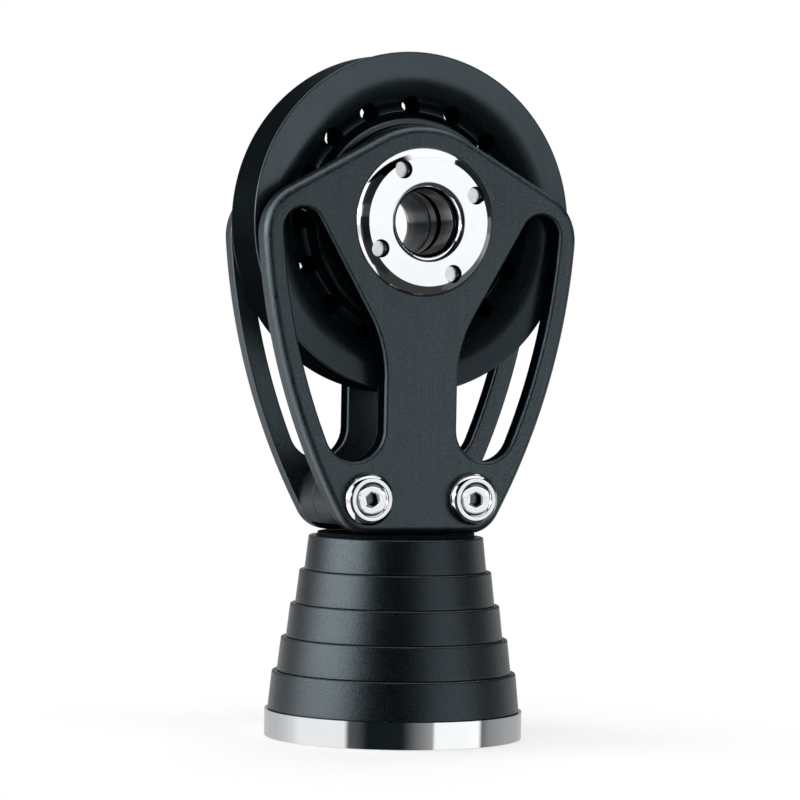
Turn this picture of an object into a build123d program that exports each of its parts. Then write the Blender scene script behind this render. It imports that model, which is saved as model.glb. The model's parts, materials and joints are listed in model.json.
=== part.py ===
"""Stand-up deck block: a roller-bearing sheave between two open cheeks on a sprung, tilting base.

Millimetres. The origin is the centre of the base's underside, +Z is up, and the sheave's
axle lies along Y. The near side is -Y and the far side is its mirror image.
"""
import math
import os

from build123d import *

os.makedirs("parts", exist_ok=True)

# Sheave
sheave_r = 62.5
sheave_half = 12.0
axle_z = 189.0
rim_land = 1.0
groove_root_r = 7.5
groove_half_angle = 32.0
flank_land = 7.0
flank_inset = 0.8
flank_sagitta = 1.0
web_width = 1.9
web_half = 6.5
boss_width = 4.5
boss_half = 8.2
boss_chamfer = 1.5
hole_r = 3.5
hole_offset = 0.3
hole_count = 16
lip_width = 2.4
lip_half = 11.0
lip_edge = 0.5
ball_track_width = 7.2

# Bearings
running_gap = 0.05
inner_race_wall = 6.5
roller_r = 2.5
roller_length = 14.0
roller_count = 20
cage_wall = 3.4
cage_end_gap = 0.4
roller_pocket_gap = 0.15
ball_r = 2.5
ball_count = 20
ball_ring_thickness = 2.0
ball_ring_gap = 0.7
ball_pocket_gap = 0.15
race_washer_thickness = 0.8

# Cheeks
side_gap = 1.6
cheek_thickness = 8.0
cheek_top_r = 35.0
shoulder_reach = 7.6
shoulder_drop = 5.5
shoulder_r = 19.3
side_bow_r = 245.0
foot_r = 12.8
screw_x = 20.6
screw_z = 88.3
window_rib = 7.4
window_top_drop = 3.6
window_top_r = 7.5
window_foot_drop = 75.5
window_foot_r = 11.6
window_bend_share = 0.397
window_foot_lean = 20.0
outer_bevel = 1.3
inner_bevel = 0.6
window_bevel = 0.6

# Hub caps
cap_r = 27.1
cap_slope_width = 3.7
cap_proud = 3.4
cap_bevel = 0.5
cap_crown = 0.5
hub_bore_r = 11.6
hub_lip = 2.6
sleeve_r = 17.0
nose_wall = 2.1
nose_reach = 1.0
thread_length = 11.0
relief_depth = 0.8
key_hole_r = 3.3
key_hole_ring_r = 21.2
key_hole_depth = 3.0
key_hole_count = 4
key_hole_start = 28.5
fit_gap = 0.03

# Screws and cup washers
screw_r = 3.0
screw_head_r = 5.7
screw_head_edge = 0.3
screw_length = 20.0
hex_flats = 4.3
hex_depth = 2.4
hex_turns = (44.0, 30.0)
cup_wall = 3.7
cup_height = 4.0
cup_waist = 1.8
cup_slope_width = 1.75
cup_rim = 0.85
cup_crown = 0.25
cup_recess = 0.6
seat_gap = 0.1
bush_wall = 2.0

# Swivel head and post
head_foot_width = 3.6
head_relief_height = 4.0
head_relief_corner = 3.2
head_bevel = 0.4
stem_r = 7.5
stem_gap = 0.06
thread_depth = 1.5
thrust_washer_width = 5.5
thrust_washer_thickness = 1.5
collar_width = 3.3
collar_height = 5.0
collar_lift = 11.5
collar_gap = 0.1
stem_over = 1.0
flange_setback = 3.3
flange_thickness = 2.2
flange_gap = 0.4
neck_depth = 2.5
boot_slot = 2.6
seat_flange_lip = 1.0
seat_flange_thickness = 2.4
post_root_r = 16.0
post_root_bevel = 2.0

# Toggle between the base and the post
lower_pin_z = 27.0
upper_pin_z = 46.0
eye_wall = 4.5
eye_half = 6.3
lug_gap = 0.3
lug_thickness = 6.8
bridge_gap = 0.8
bridge_thickness = 4.5
link_bevel = 0.6
pin_r = 4.0
pin_over = 2.2
pin_groove_depth = 0.8
pin_running = 0.06
pin_bevel = 0.5
clip_thickness = 0.9
clip_width = 2.8
clip_mouth = 5.2
clip_gap = 0.05

# Base
base_r = 47.5
base_height = 9.7
base_bevel = 0.8
plinth_inset = 1.2
plinth_height = 4.0
bead_height = 1.8
bead_depth = 1.2
bead_lift = 0.9
bolt_ring_r = 33.0
bolt_hole_r = 4.25
bolt_head_r = 8.2
bolt_count = 4
bolt_start = 45.0
ear_foot_half = 12.0

# Spring and its seats
wire_r = 2.1
coil_r = 21.9
coil_pitch = 8.6
coil_end_cut = 0.9
spring_seat_thickness = 1.5
spring_seat_lip = 2.5
spring_seat_wall = 0.9
spring_seat_gap = 0.3

# Boot
boot_tiers = 5
boot_setback = 1.1
tier_step = 3.2
tier_flare = 1.3
tier_height = 12.45
top_tier_height = 11.6
boot_wall = 2.4
boot_top_wall = 2.2
boot_edge = 0.6
soft_gap = 0.2

# Sizes that follow from the driving ones
cheek_inner = sheave_half + side_gap
cheek_outer = cheek_inner + cheek_thickness
shoulder_x = cheek_top_r + shoulder_reach
inner_race_r = sleeve_r + inner_race_wall
outer_track_r = inner_race_r + 2 * (roller_r + running_gap)
race_seat_r = outer_track_r + ball_track_width
lip_r = race_seat_r + lip_width
boss_r = lip_r + boss_width
hole_ring_r = boss_r + hole_offset
web_r = boss_r + web_width
flank_r = sheave_r - flank_land
roller_ring_r = (inner_race_r + outer_track_r) / 2
washer_face = cheek_inner - race_washer_thickness
ball_y = washer_face - running_gap - ball_r
track_half = ball_y - ball_r - running_gap
ball_circle_r = (outer_track_r + race_seat_r) / 2
cap_face_r = cap_r - cap_slope_width
nose_r = sleeve_r - nose_wall
relief_r = hub_bore_r + relief_depth
cup_seat_r = screw_head_r + seat_gap
cup_r = cup_seat_r + cup_wall
cup_face_r = cup_r - cup_slope_width
cup_mouth_r = cup_face_r - cup_rim
bush_r = screw_r + bush_wall
head_relief_half = screw_x + foot_r - head_foot_width
thread_r = stem_r - thread_depth
collar_r = stem_r + collar_width
thrust_washer_r = stem_r + thrust_washer_width
boot_top_r = base_r - boot_setback - tier_flare - (boot_tiers - 1) * tier_step
plinth_r = base_r - boot_setback - tier_flare - boot_wall - plinth_inset
flange_r = boot_top_r - flange_setback
seat_flange_r = coil_r + wire_r + seat_flange_lip
neck_r = seat_flange_r - neck_depth
eye_r = pin_r + eye_wall
pin_groove_r = pin_r - pin_groove_depth
clip_r = pin_groove_r + clip_width
cheek_foot_z = screw_z - foot_r
head_floor_z = cheek_foot_z + head_relief_height
hub_top_z = head_floor_z - thrust_washer_thickness
flange_top_z = cheek_foot_z - flange_gap
flange_under_z = flange_top_z - flange_thickness
seat_flange_top_z = flange_under_z - boot_slot
seat_flange_under_z = seat_flange_top_z - seat_flange_thickness
collar_z = head_floor_z + collar_lift
stem_top_z = collar_z + collar_height + stem_over
plinth_z = base_height + plinth_height
lug_inner = eye_half + lug_gap
lug_outer = lug_inner + lug_thickness
clip_at = lug_outer + clip_gap
pin_half = clip_at + clip_thickness + pin_over
bridge_z = upper_pin_z + eye_r + bridge_gap
bridge_top_z = bridge_z + bridge_thickness

axle_plane = Plane(origin=(0, 0, axle_z), x_dir=(1, 0, 0), z_dir=(0, -1, 0))
axle_section = Plane(origin=(0, 0, axle_z), x_dir=(0, 1, 0), z_dir=(1, 0, 0))
axle_line = Axis((0, 0, axle_z), (0, 1, 0))


def finish(builder, name):
    """Label a finished piece and write it to its own file."""
    builder.part.label = name
    export_step(builder.part, f"parts/{name}.step")


def on_circle(centre, radius, toward):
    """Return the point of a circle that lies in the direction of another point."""
    return centre + (toward - centre).normalized() * radius


def bow_centre(first, first_r, second, second_r, bow_r):
    """Return the centre of the large arc that encloses and touches two corner circles."""
    span = second - first
    reach_1, reach_2 = bow_r - first_r, bow_r - second_r
    along = (reach_1**2 - reach_2**2 + span.length**2) / (2 * span.length)
    across = math.sqrt(reach_1**2 - along**2)
    unit = span.normalized()
    return first + unit * along + Vector(unit.Y, -unit.X) * across


def tangent_normal(first, first_r, second, second_r, lean):
    """Return the unit normal of a line that touches two circles.

    The line lies to the left (lean 1) or right (lean -1) of the first circle, looking to the
    second, and a negative second radius puts the second circle on its other side.
    """
    span = second - first
    drop = (first_r - second_r) / span.length
    unit = span.normalized()
    return unit * drop + Vector(-unit.Y, unit.X) * lean * math.sqrt(1 - drop**2)


# Corner circles of the cheek outline, seen from the front with the hub at the centre
hub = Vector(0, 0)
shoulder = Vector(shoulder_x, -shoulder_drop)
foot = Vector(screw_x, screw_z - axle_z)
bow = bow_centre(shoulder, shoulder_r, foot, foot_r, side_bow_r)


def bow_circle_at(height, radius):
    """Return the centre of a window corner whose circle touches the inside of the rib."""
    reach = side_bow_r - window_rib - radius
    return Vector(bow.X + math.sqrt(reach**2 - (height - bow.Y) ** 2), height)


def arc_about(centre, radius, start, end):
    """Draw the shorter arc of a circle from one of its points to another."""
    middle = on_circle(centre, radius, (start + end) / 2)
    return ThreePointArc(start, middle, end)


def draw_cheek_outline():
    """Draw the whole outline of a cheek."""
    slope = tangent_normal(hub, cheek_top_r, shoulder, shoulder_r, 1)
    top = Vector(0, cheek_top_r)
    top_end = hub + slope * cheek_top_r
    shoulder_start = shoulder + slope * shoulder_r
    shoulder_end = bow + (shoulder - bow).normalized() * side_bow_r
    foot_start = bow + (foot - bow).normalized() * side_bow_r
    foot_end = foot + Vector(0, -foot_r)
    arc_about(hub, cheek_top_r, top, top_end)
    Line(top_end, shoulder_start)
    arc_about(shoulder, shoulder_r, shoulder_start, shoulder_end)
    arc_about(bow, side_bow_r, shoulder_end, foot_start)
    arc_about(foot, foot_r, foot_start, foot_end)
    Line(foot_end, (0, foot_end.Y))
    mirror(about=Plane.YZ)


def draw_window_outline():
    """Draw the right-hand cheek window, bounded by the rib, the hub boss and an upright edge."""
    top = bow_circle_at(-window_top_drop, window_top_r)
    low = bow_circle_at(-window_foot_drop, window_foot_r)
    slant = tangent_normal(hub, cheek_top_r, top, -window_top_r, -1)
    inner_x = low.X - window_foot_r
    slant_start = top - slant * window_top_r
    corner_y = (cheek_top_r - slant.X * inner_x) / slant.Y
    upright_end = Vector(inner_x, low.Y)
    rib_top = top + (top - bow).normalized() * window_top_r
    rib_low = low + (low - bow).normalized() * window_foot_r
    lean = math.radians(window_foot_lean)
    low_middle = low + Vector(math.sin(lean), -math.cos(lean)) * window_foot_r
    corner = Vector(inner_x, corner_y)
    turn = math.radians((corner - slant_start).get_angle(upright_end - corner))
    bend_reach = window_bend_share * min((corner - slant_start).length, (upright_end - corner).length)
    bend_r = bend_reach / math.tan(turn / 2)
    FilletPolyline(slant_start, corner, upright_end, radius=bend_r)
    ThreePointArc(upright_end, low_middle, rib_low)
    arc_about(bow, side_bow_r - window_rib, rib_low, rib_top)
    arc_about(top, window_top_r, rib_top, slant_start)


# Sheave: turned from one piece, grooved for the rope and bored as the bearings' outer tracks
with BuildPart() as sheave:
    with BuildSketch(axle_section):
        with BuildLine():
            Polyline(
                (0, outer_track_r),
                (track_half, outer_track_r),
                (track_half, race_seat_r),
                (lip_half, race_seat_r),
                (lip_half, lip_r),
                (boss_half, lip_r),
                (boss_half, boss_r - boss_chamfer),
                (boss_half - boss_chamfer, boss_r),
                (web_half, boss_r),
                (web_half, web_r),
            )
            flank_half = sheave_half - flank_inset
            SagittaArc((web_half, web_r), (flank_half, flank_r), flank_sagitta)
            Polyline((flank_half, flank_r), (sheave_half, sheave_r), (0, sheave_r))
            Line((0, sheave_r), (0, outer_track_r))
        make_face()
        mirror(about=Plane.YZ)
    revolve(axis=axle_line)
    groove_half = sheave_half - rim_land
    groove_apex_r = sheave_r - groove_half / math.tan(math.radians(groove_half_angle))
    with BuildSketch(axle_section) as groove:
        with BuildLine():
            Polyline(
                (-groove_half, sheave_r), (0, groove_apex_r), (groove_half, sheave_r),
                (0, sheave_r + 1), close=True,
            )
        make_face()
        fillet(groove.vertices().sort_by(Axis.Y)[0], radius=groove_root_r)
    revolve(axis=axle_line, mode=Mode.SUBTRACT)
    with BuildSketch(axle_plane):
        with PolarLocations(hole_ring_r, hole_count):
            Circle(hole_r)
    extrude(amount=sheave_half, both=True, mode=Mode.SUBTRACT)
    lip_faces = [face for face in sheave.faces() if abs(abs(face.center().Y) - lip_half) < lip_edge / 2]
    chamfer(ShapeList(lip_faces).edges(), length=lip_edge)
finish(sheave, "sheave")

# Roller bearing: inner race on the hub sleeve, caged rollers between it and the sheave
with BuildPart() as inner_race:
    with BuildSketch(axle_plane):
        Circle(inner_race_r)
        Circle(sleeve_r + fit_gap, mode=Mode.SUBTRACT)
    extrude(amount=cheek_inner, both=True)
finish(inner_race, "inner_race")

with BuildPart() as roller_cage:
    with BuildSketch(axle_plane):
        Circle(roller_ring_r + cage_wall / 2)
        Circle(roller_ring_r - cage_wall / 2, mode=Mode.SUBTRACT)
    extrude(amount=cheek_inner - cage_end_gap, both=True)
    with Locations(axle_plane):
        with PolarLocations(roller_ring_r, roller_count):
            Box(
                2 * cage_wall,
                2 * (roller_r + roller_pocket_gap),
                roller_length + 2 * roller_pocket_gap,
                mode=Mode.SUBTRACT,
            )
finish(roller_cage, "roller_cage")

with BuildPart() as rollers:
    with Locations(axle_plane):
        with PolarLocations(roller_ring_r, roller_count):
            Cylinder(roller_r, roller_length)
finish(rollers, "rollers")

# Side ball bearings: a hard washer on the cheek, a ring of balls and its retainer
with BuildPart() as near_race_washer:
    with BuildSketch(axle_plane.offset(washer_face)):
        Circle(race_seat_r)
        Circle(outer_track_r + ball_ring_gap, mode=Mode.SUBTRACT)
    extrude(amount=race_washer_thickness)
finish(near_race_washer, "near_race_washer")

with BuildPart() as near_ball_ring:
    with BuildSketch(axle_plane.offset(ball_y - ball_ring_thickness / 2)):
        Circle(race_seat_r - ball_ring_gap)
        Circle(outer_track_r + ball_ring_gap, mode=Mode.SUBTRACT)
        with PolarLocations(ball_circle_r, ball_count):
            Circle(ball_r + ball_pocket_gap, mode=Mode.SUBTRACT)
    extrude(amount=ball_ring_thickness)
finish(near_ball_ring, "near_ball_ring")

with BuildPart() as near_balls:
    with Locations(axle_plane.offset(ball_y)):
        with PolarLocations(ball_circle_r, ball_count):
            Sphere(ball_r)
finish(near_balls, "near_balls")

# Cheeks: profiled plates with two open windows, a hub bore and two screw holes
with BuildPart() as near_cheek:
    with BuildSketch(axle_plane.offset(cheek_inner)):
        with BuildLine():
            draw_cheek_outline()
        make_face()
    extrude(amount=cheek_thickness)
    chamfer(near_cheek.faces().sort_by(Axis.Y)[0].edges(), length=outer_bevel)
    chamfer(near_cheek.faces().sort_by(Axis.Y)[-1].edges(), length=inner_bevel)
    with BuildSketch(axle_plane.offset(cheek_inner)):
        with BuildLine():
            draw_window_outline()
        make_face()
        mirror(about=Plane.YZ)
    extrude(amount=cheek_thickness, mode=Mode.SUBTRACT)
    rims = near_cheek.faces().sort_by(Axis.Y)[0].inner_wires()
    chamfer(rims.edges(), length=window_bevel)
    with BuildSketch(axle_plane.offset(cheek_inner)):
        Circle(sleeve_r + fit_gap)
        with Locations((-screw_x, foot.Y), (screw_x, foot.Y)):
            Circle(screw_r + seat_gap)
    extrude(amount=cheek_thickness, mode=Mode.SUBTRACT)
finish(near_cheek, "near_cheek")

# Hub caps: screwed together through the cheeks and the inner race
cap_face = cheek_outer + cap_proud
thread_start = nose_reach - thread_length


def draw_cap_flange():
    """Draw the half section of the polished flange, common to both caps, on the +Y side."""
    Polyline(
        (cheek_outer, sleeve_r),
        (cheek_outer, cap_r),
        (cheek_outer + cap_bevel, cap_r),
    )
    SagittaArc((cheek_outer + cap_bevel, cap_r), (cap_face, cap_face_r), cap_crown)
    Line((cap_face, cap_face_r), (cap_face, hub_bore_r + hub_lip))
    RadiusArc((cap_face, hub_bore_r + hub_lip), (cap_face - hub_lip, hub_bore_r), -hub_lip)


with BuildPart() as nose_cap:
    with BuildSketch(axle_section):
        with BuildLine():
            draw_cap_flange()
            Polyline(
                (cap_face - hub_lip, hub_bore_r),
                (-thread_start + running_gap, hub_bore_r),
                (-thread_start + running_gap, relief_r),
                (-nose_reach, relief_r),
                (-nose_reach, nose_r),
                (-thread_start, nose_r),
                (-thread_start, sleeve_r),
                (cheek_outer, sleeve_r),
            )
        make_face()
    revolve(axis=axle_line)
    with BuildSketch(Plane(origin=(0, cap_face, axle_z), x_dir=(1, 0, 0), z_dir=(0, -1, 0))):
        with PolarLocations(key_hole_ring_r, key_hole_count, start_angle=key_hole_start):
            Circle(key_hole_r)
    extrude(amount=key_hole_depth, mode=Mode.SUBTRACT)

with BuildPart() as near_hub_cap:
    mirror(nose_cap.part, about=Plane.XZ)
finish(near_hub_cap, "near_hub_cap")

with BuildPart() as far_hub_cap:
    with BuildSketch(axle_section):
        with BuildLine():
            draw_cap_flange()
            Polyline(
                (cap_face - hub_lip, hub_bore_r),
                (nose_reach + hub_lip, hub_bore_r),
                (nose_reach + 2 * running_gap, relief_r),
                (nose_reach + 2 * running_gap, nose_r + fit_gap),
                (thread_start + running_gap, nose_r + fit_gap),
                (thread_start + running_gap, sleeve_r),
                (cheek_outer, sleeve_r),
            )
        make_face()
    revolve(axis=axle_line)
    with BuildSketch(Plane(origin=(0, cap_face, axle_z), x_dir=(1, 0, 0), z_dir=(0, -1, 0))):
        with PolarLocations(key_hole_ring_r, key_hole_count, start_angle=key_hole_start):
            Circle(key_hole_r)
    extrude(amount=key_hole_depth, mode=Mode.SUBTRACT)
finish(far_hub_cap, "far_hub_cap")

# Cup washers and countersunk screws that clamp the cheeks to the swivel head
head_under = cup_height - cup_recess - screw_head_edge
cone_height = screw_head_r - screw_r
with BuildPart() as near_cup_washers:
    for x in (-screw_x, screw_x):
        with BuildSketch(Plane(origin=(x, -cheek_outer, screw_z), x_dir=(1, 0, 0), z_dir=(0, 0, 1))):
            with BuildLine():
                Polyline((screw_r + seat_gap, 0), (cup_r, 0), (cup_r, -cup_waist))
                SagittaArc((cup_r, -cup_waist), (cup_face_r, -cup_height), cup_crown)
                Polyline(
                    (cup_face_r, -cup_height),
                    (cup_mouth_r, -cup_height),
                    (cup_seat_r, -head_under - screw_head_edge),
                    (cup_seat_r, -head_under),
                    (screw_r + seat_gap, -head_under + cone_height),
                    (screw_r + seat_gap, 0),
                )
            make_face()
        revolve(axis=Axis((x, 0, screw_z), (0, 1, 0)))
finish(near_cup_washers, "near_cup_washers")

with BuildPart() as near_screws:
    for x, turn in zip((-screw_x, screw_x), hex_turns):
        face_y = cheek_outer + head_under + screw_head_edge
        with BuildSketch(Plane(origin=(x, -face_y, screw_z), x_dir=(1, 0, 0), z_dir=(0, 0, 1))):
            with BuildLine():
                Polyline(
                    (0, 0),
                    (screw_head_r, 0),
                    (screw_head_r, screw_head_edge),
                    (screw_r, screw_head_edge + cone_height),
                    (screw_r, screw_length),
                    (0, screw_length),
                    close=True,
                )
            make_face()
        revolve(axis=Axis((x, 0, screw_z), (0, 1, 0)))
        with BuildSketch(Plane(origin=(x, -face_y, screw_z), x_dir=(1, 0, 0), z_dir=(0, -1, 0))):
            RegularPolygon(hex_flats / 2, 6, major_radius=False, rotation=turn)
        extrude(amount=-hex_depth, mode=Mode.SUBTRACT)
finish(near_screws, "near_screws")

with BuildPart() as head_bushes:
    with BuildSketch(Plane.XZ):
        with Locations((-screw_x, screw_z), (screw_x, screw_z)):
            Circle(bush_r)
            Circle(screw_r + fit_gap, mode=Mode.SUBTRACT)
    extrude(amount=cheek_inner - fit_gap, both=True)
finish(head_bushes, "head_bushes")

# The far side mirrors the near one
for near_piece, far_name in (
    (near_race_washer, "far_race_washer"),
    (near_ball_ring, "far_ball_ring"),
    (near_balls, "far_balls"),
    (near_cheek, "far_cheek"),
    (near_cup_washers, "far_cup_washers"),
    (near_screws, "far_screws"),
):
    with BuildPart() as far_piece:
        mirror(near_piece.part, about=Plane.XZ)
    finish(far_piece, far_name)

# Swivel head: two halves that close round the post's stem and collar
with BuildPart() as near_head:
    with BuildSketch(Plane.XZ):
        with Locations((0, screw_z)):
            SlotCenterToCenter(2 * screw_x, 2 * foot_r)
    extrude(amount=cheek_inner)
    with BuildSketch(Plane.XZ) as relief:
        with Locations((0, cheek_foot_z)):
            Rectangle(2 * head_relief_half, 2 * head_relief_height)
        fillet(relief.vertices().group_by(Axis.Y)[-1], radius=head_relief_corner)
    extrude(amount=cheek_inner, mode=Mode.SUBTRACT)
    chamfer(near_head.faces().sort_by(Axis.Y)[-1].edges(), length=head_bevel)
    with BuildSketch(Plane.XZ):
        with Locations((-screw_x, screw_z), (screw_x, screw_z)):
            Circle(bush_r + fit_gap)
    extrude(amount=cheek_inner, mode=Mode.SUBTRACT)
    with BuildSketch(Plane.YZ):
        with BuildLine():
            Polyline(
                (0, head_floor_z),
                (-stem_r - stem_gap, head_floor_z),
                (-stem_r - stem_gap, collar_z - collar_gap),
                (-collar_r - collar_gap, collar_z - collar_gap),
                (-collar_r - collar_gap, collar_z + collar_height + collar_gap),
                (-thread_r - collar_gap, collar_z + collar_height + collar_gap),
                (-thread_r - collar_gap, stem_top_z + collar_gap),
                (0, stem_top_z + collar_gap),
                close=True,
            )
        make_face()
    revolve(axis=Axis.Z, mode=Mode.SUBTRACT)
finish(near_head, "near_head")

with BuildPart() as far_head:
    mirror(near_head.part, about=Plane.XZ)
finish(far_head, "far_head")

# Post: fork for the upper pin, flanges that hold the spring seat and the boot, swivel stem
with BuildPart() as swivel_post:
    with BuildSketch(Plane.XZ):
        with BuildLine():
            Polyline(
                (0, bridge_top_z),
                (post_root_r, bridge_top_z),
                (post_root_r, seat_flange_under_z - post_root_bevel),
                (post_root_r + post_root_bevel, seat_flange_under_z),
                (seat_flange_r, seat_flange_under_z),
                (seat_flange_r, seat_flange_top_z),
                (neck_r, seat_flange_top_z),
                (neck_r, flange_under_z),
                (flange_r, flange_under_z),
                (flange_r, flange_top_z),
                (thrust_washer_r, flange_top_z),
                (thrust_washer_r, hub_top_z),
                (stem_r, hub_top_z),
                (stem_r, collar_z),
                (thread_r, collar_z),
                (thread_r, stem_top_z),
                (0, stem_top_z),
                close=True,
            )
        make_face()
    revolve(axis=Axis.Z)
    with BuildSketch(Plane.XZ):
        with Locations((0, (bridge_z + bridge_top_z) / 2)):
            Rectangle(2 * eye_r, bridge_top_z - bridge_z)
    extrude(amount=lug_outer, both=True)
    for side in (-1, 1):
        with BuildSketch(Plane.XZ.offset(side * lug_inner)):
            with Locations((0, upper_pin_z)):
                Circle(eye_r)
            with Locations((0, (upper_pin_z + bridge_top_z) / 2)):
                Rectangle(2 * eye_r, bridge_top_z - upper_pin_z)
            with Locations((0, upper_pin_z)):
                Circle(pin_r + fit_gap, mode=Mode.SUBTRACT)
        extrude(amount=side * lug_thickness)
finish(swivel_post, "swivel_post")

with BuildPart() as thrust_washer:
    with BuildSketch(Plane.XY.offset(hub_top_z)):
        Circle(thrust_washer_r)
        Circle(stem_r + stem_gap, mode=Mode.SUBTRACT)
    extrude(amount=thrust_washer_thickness)
finish(thrust_washer, "thrust_washer")

with BuildPart() as stem_collar:
    with BuildSketch(Plane.XY.offset(collar_z)):
        Circle(collar_r)
        Circle(thread_r + fit_gap, mode=Mode.SUBTRACT)
    extrude(amount=collar_height)
finish(stem_collar, "stem_collar")

# Toggle link: two crossed eyes, so the block leans fore and aft on one pin and sideways on the other
with BuildPart() as toggle_link:
    with BuildSketch(Plane.YZ):
        with Locations((0, lower_pin_z)):
            Circle(eye_r)
    extrude(amount=eye_half, both=True)
    with BuildSketch(Plane.XZ):
        with Locations((0, upper_pin_z)):
            Circle(eye_r)
    extrude(amount=eye_half, both=True)
    with Locations((0, 0, (lower_pin_z + upper_pin_z) / 2)):
        Box(2 * eye_half, 2 * eye_half, upper_pin_z - lower_pin_z)
    for axis in (Axis.X, Axis.Y):
        eye_ends = toggle_link.faces().filter_by(axis).group_by(axis)
        for end in (eye_ends[0], eye_ends[-1]):
            chamfer(end.edges().filter_by(GeomType.CIRCLE), length=link_bevel)
    with BuildSketch(Plane.YZ):
        with Locations((0, lower_pin_z)):
            Circle(pin_r + pin_running)
    extrude(amount=eye_half, both=True, mode=Mode.SUBTRACT)
    with BuildSketch(Plane.XZ):
        with Locations((0, upper_pin_z)):
            Circle(pin_r + pin_running)
    extrude(amount=eye_half, both=True, mode=Mode.SUBTRACT)
finish(toggle_link, "toggle_link")


def draw_pin_section():
    """Draw the half section of a grooved pin, along the sketch's x axis."""
    groove_end = clip_at + clip_thickness + 2 * clip_gap
    Polyline(
        (0, 0),
        (0, pin_r),
        (clip_at - clip_gap, pin_r),
        (clip_at - clip_gap, pin_groove_r),
        (groove_end, pin_groove_r),
        (groove_end, pin_r),
        (pin_half - pin_bevel, pin_r),
        (pin_half, pin_r - pin_bevel),
        (pin_half, 0),
        close=True,
    )


with BuildPart() as lower_pin:
    with BuildSketch(Plane(origin=(0, 0, lower_pin_z), x_dir=(1, 0, 0), z_dir=(0, -1, 0))):
        with BuildLine():
            draw_pin_section()
        make_face()
        mirror(about=Plane.YZ)
    revolve(axis=Axis((0, 0, lower_pin_z), (1, 0, 0)))
finish(lower_pin, "lower_pin")

with BuildPart() as upper_pin:
    with BuildSketch(Plane(origin=(0, 0, upper_pin_z), x_dir=(0, 1, 0), z_dir=(1, 0, 0))):
        with BuildLine():
            draw_pin_section()
        make_face()
        mirror(about=Plane.YZ)
    revolve(axis=Axis((0, 0, upper_pin_z), (0, 1, 0)))
finish(upper_pin, "upper_pin")


def draw_clip():
    """Draw a snap ring that opens downwards."""
    Circle(clip_r)
    Circle(pin_groove_r + clip_gap, mode=Mode.SUBTRACT)
    with Locations((0, -clip_r)):
        Rectangle(clip_mouth, 2 * clip_r, mode=Mode.SUBTRACT)


with BuildPart() as lower_pin_clips:
    for side in (-1, 1):
        face = Plane(origin=(side * clip_at, 0, lower_pin_z), x_dir=(0, 1, 0), z_dir=(1, 0, 0))
        with BuildSketch(face):
            draw_clip()
        extrude(amount=side * clip_thickness)
finish(lower_pin_clips, "lower_pin_clips")

with BuildPart() as upper_pin_clips:
    for side in (-1, 1):
        face = Plane(origin=(0, -side * clip_at, upper_pin_z), x_dir=(1, 0, 0), z_dir=(0, -1, 0))
        with BuildSketch(face):
            draw_clip()
        extrude(amount=side * clip_thickness)
finish(upper_pin_clips, "upper_pin_clips")

# Base: polished disc with a plinth for the boot's bead, two ears and countersunk deck holes
with BuildPart() as base_plate:
    with BuildSketch(Plane.XZ):
        with BuildLine():
            Polyline(
                (0, 0),
                (base_r - base_bevel, 0),
                (base_r, base_bevel),
                (base_r, base_height - base_bevel),
                (base_r - base_bevel, base_height),
                (plinth_r, base_height),
                (plinth_r, base_height + bead_lift),
                (plinth_r - bead_depth, base_height + bead_lift),
                (plinth_r - bead_depth, base_height + bead_lift + bead_height),
                (plinth_r, base_height + bead_lift + bead_height),
                (plinth_r, plinth_z),
                (0, plinth_z),
                close=True,
            )
        make_face()
    revolve(axis=Axis.Z)
    for side in (-1, 1):
        with BuildSketch(Plane.YZ.offset(side * lug_inner)):
            with BuildLine():
                Polyline(
                    (-ear_foot_half, plinth_z),
                    (ear_foot_half, plinth_z),
                    (eye_r, lower_pin_z),
                    (-eye_r, lower_pin_z),
                    close=True,
                )
            make_face()
            with Locations((0, lower_pin_z)):
                Circle(eye_r)
                Circle(pin_r + fit_gap, mode=Mode.SUBTRACT)
        extrude(amount=side * lug_thickness)
    with Locations(Plane.XY.offset(plinth_z)):
        with PolarLocations(bolt_ring_r, bolt_count, start_angle=bolt_start):
            CounterSinkHole(bolt_hole_r, bolt_head_r)
finish(base_plate, "base_plate")

# Spring that stands the block upright, ground flat on two seat rings
lower_seat_top_z = plinth_z + spring_seat_thickness
upper_seat_under_z = seat_flange_under_z - spring_seat_thickness
seat_inner_r = coil_r - wire_r - spring_seat_gap - spring_seat_wall


def draw_seat_section(face_z, direction):
    """Draw the half section of a spring seat that rests on face_z and faces up (1) or down (-1)."""
    seat_z = face_z + direction * spring_seat_thickness
    Polyline(
        (seat_inner_r, face_z),
        (coil_r + wire_r, face_z),
        (coil_r + wire_r, seat_z),
        (seat_inner_r + spring_seat_wall, seat_z),
        (seat_inner_r + spring_seat_wall, seat_z + direction * spring_seat_lip),
        (seat_inner_r, seat_z + direction * spring_seat_lip),
        close=True,
    )


with BuildPart() as lower_spring_seat:
    with BuildSketch(Plane.XZ):
        with BuildLine():
            draw_seat_section(plinth_z, 1)
        make_face()
    revolve(axis=Axis.Z)
finish(lower_spring_seat, "lower_spring_seat")

with BuildPart() as upper_spring_seat:
    with BuildSketch(Plane.XZ):
        with BuildLine():
            draw_seat_section(seat_flange_under_z, -1)
        make_face()
    revolve(axis=Axis.Z)
finish(upper_spring_seat, "upper_spring_seat")

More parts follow.
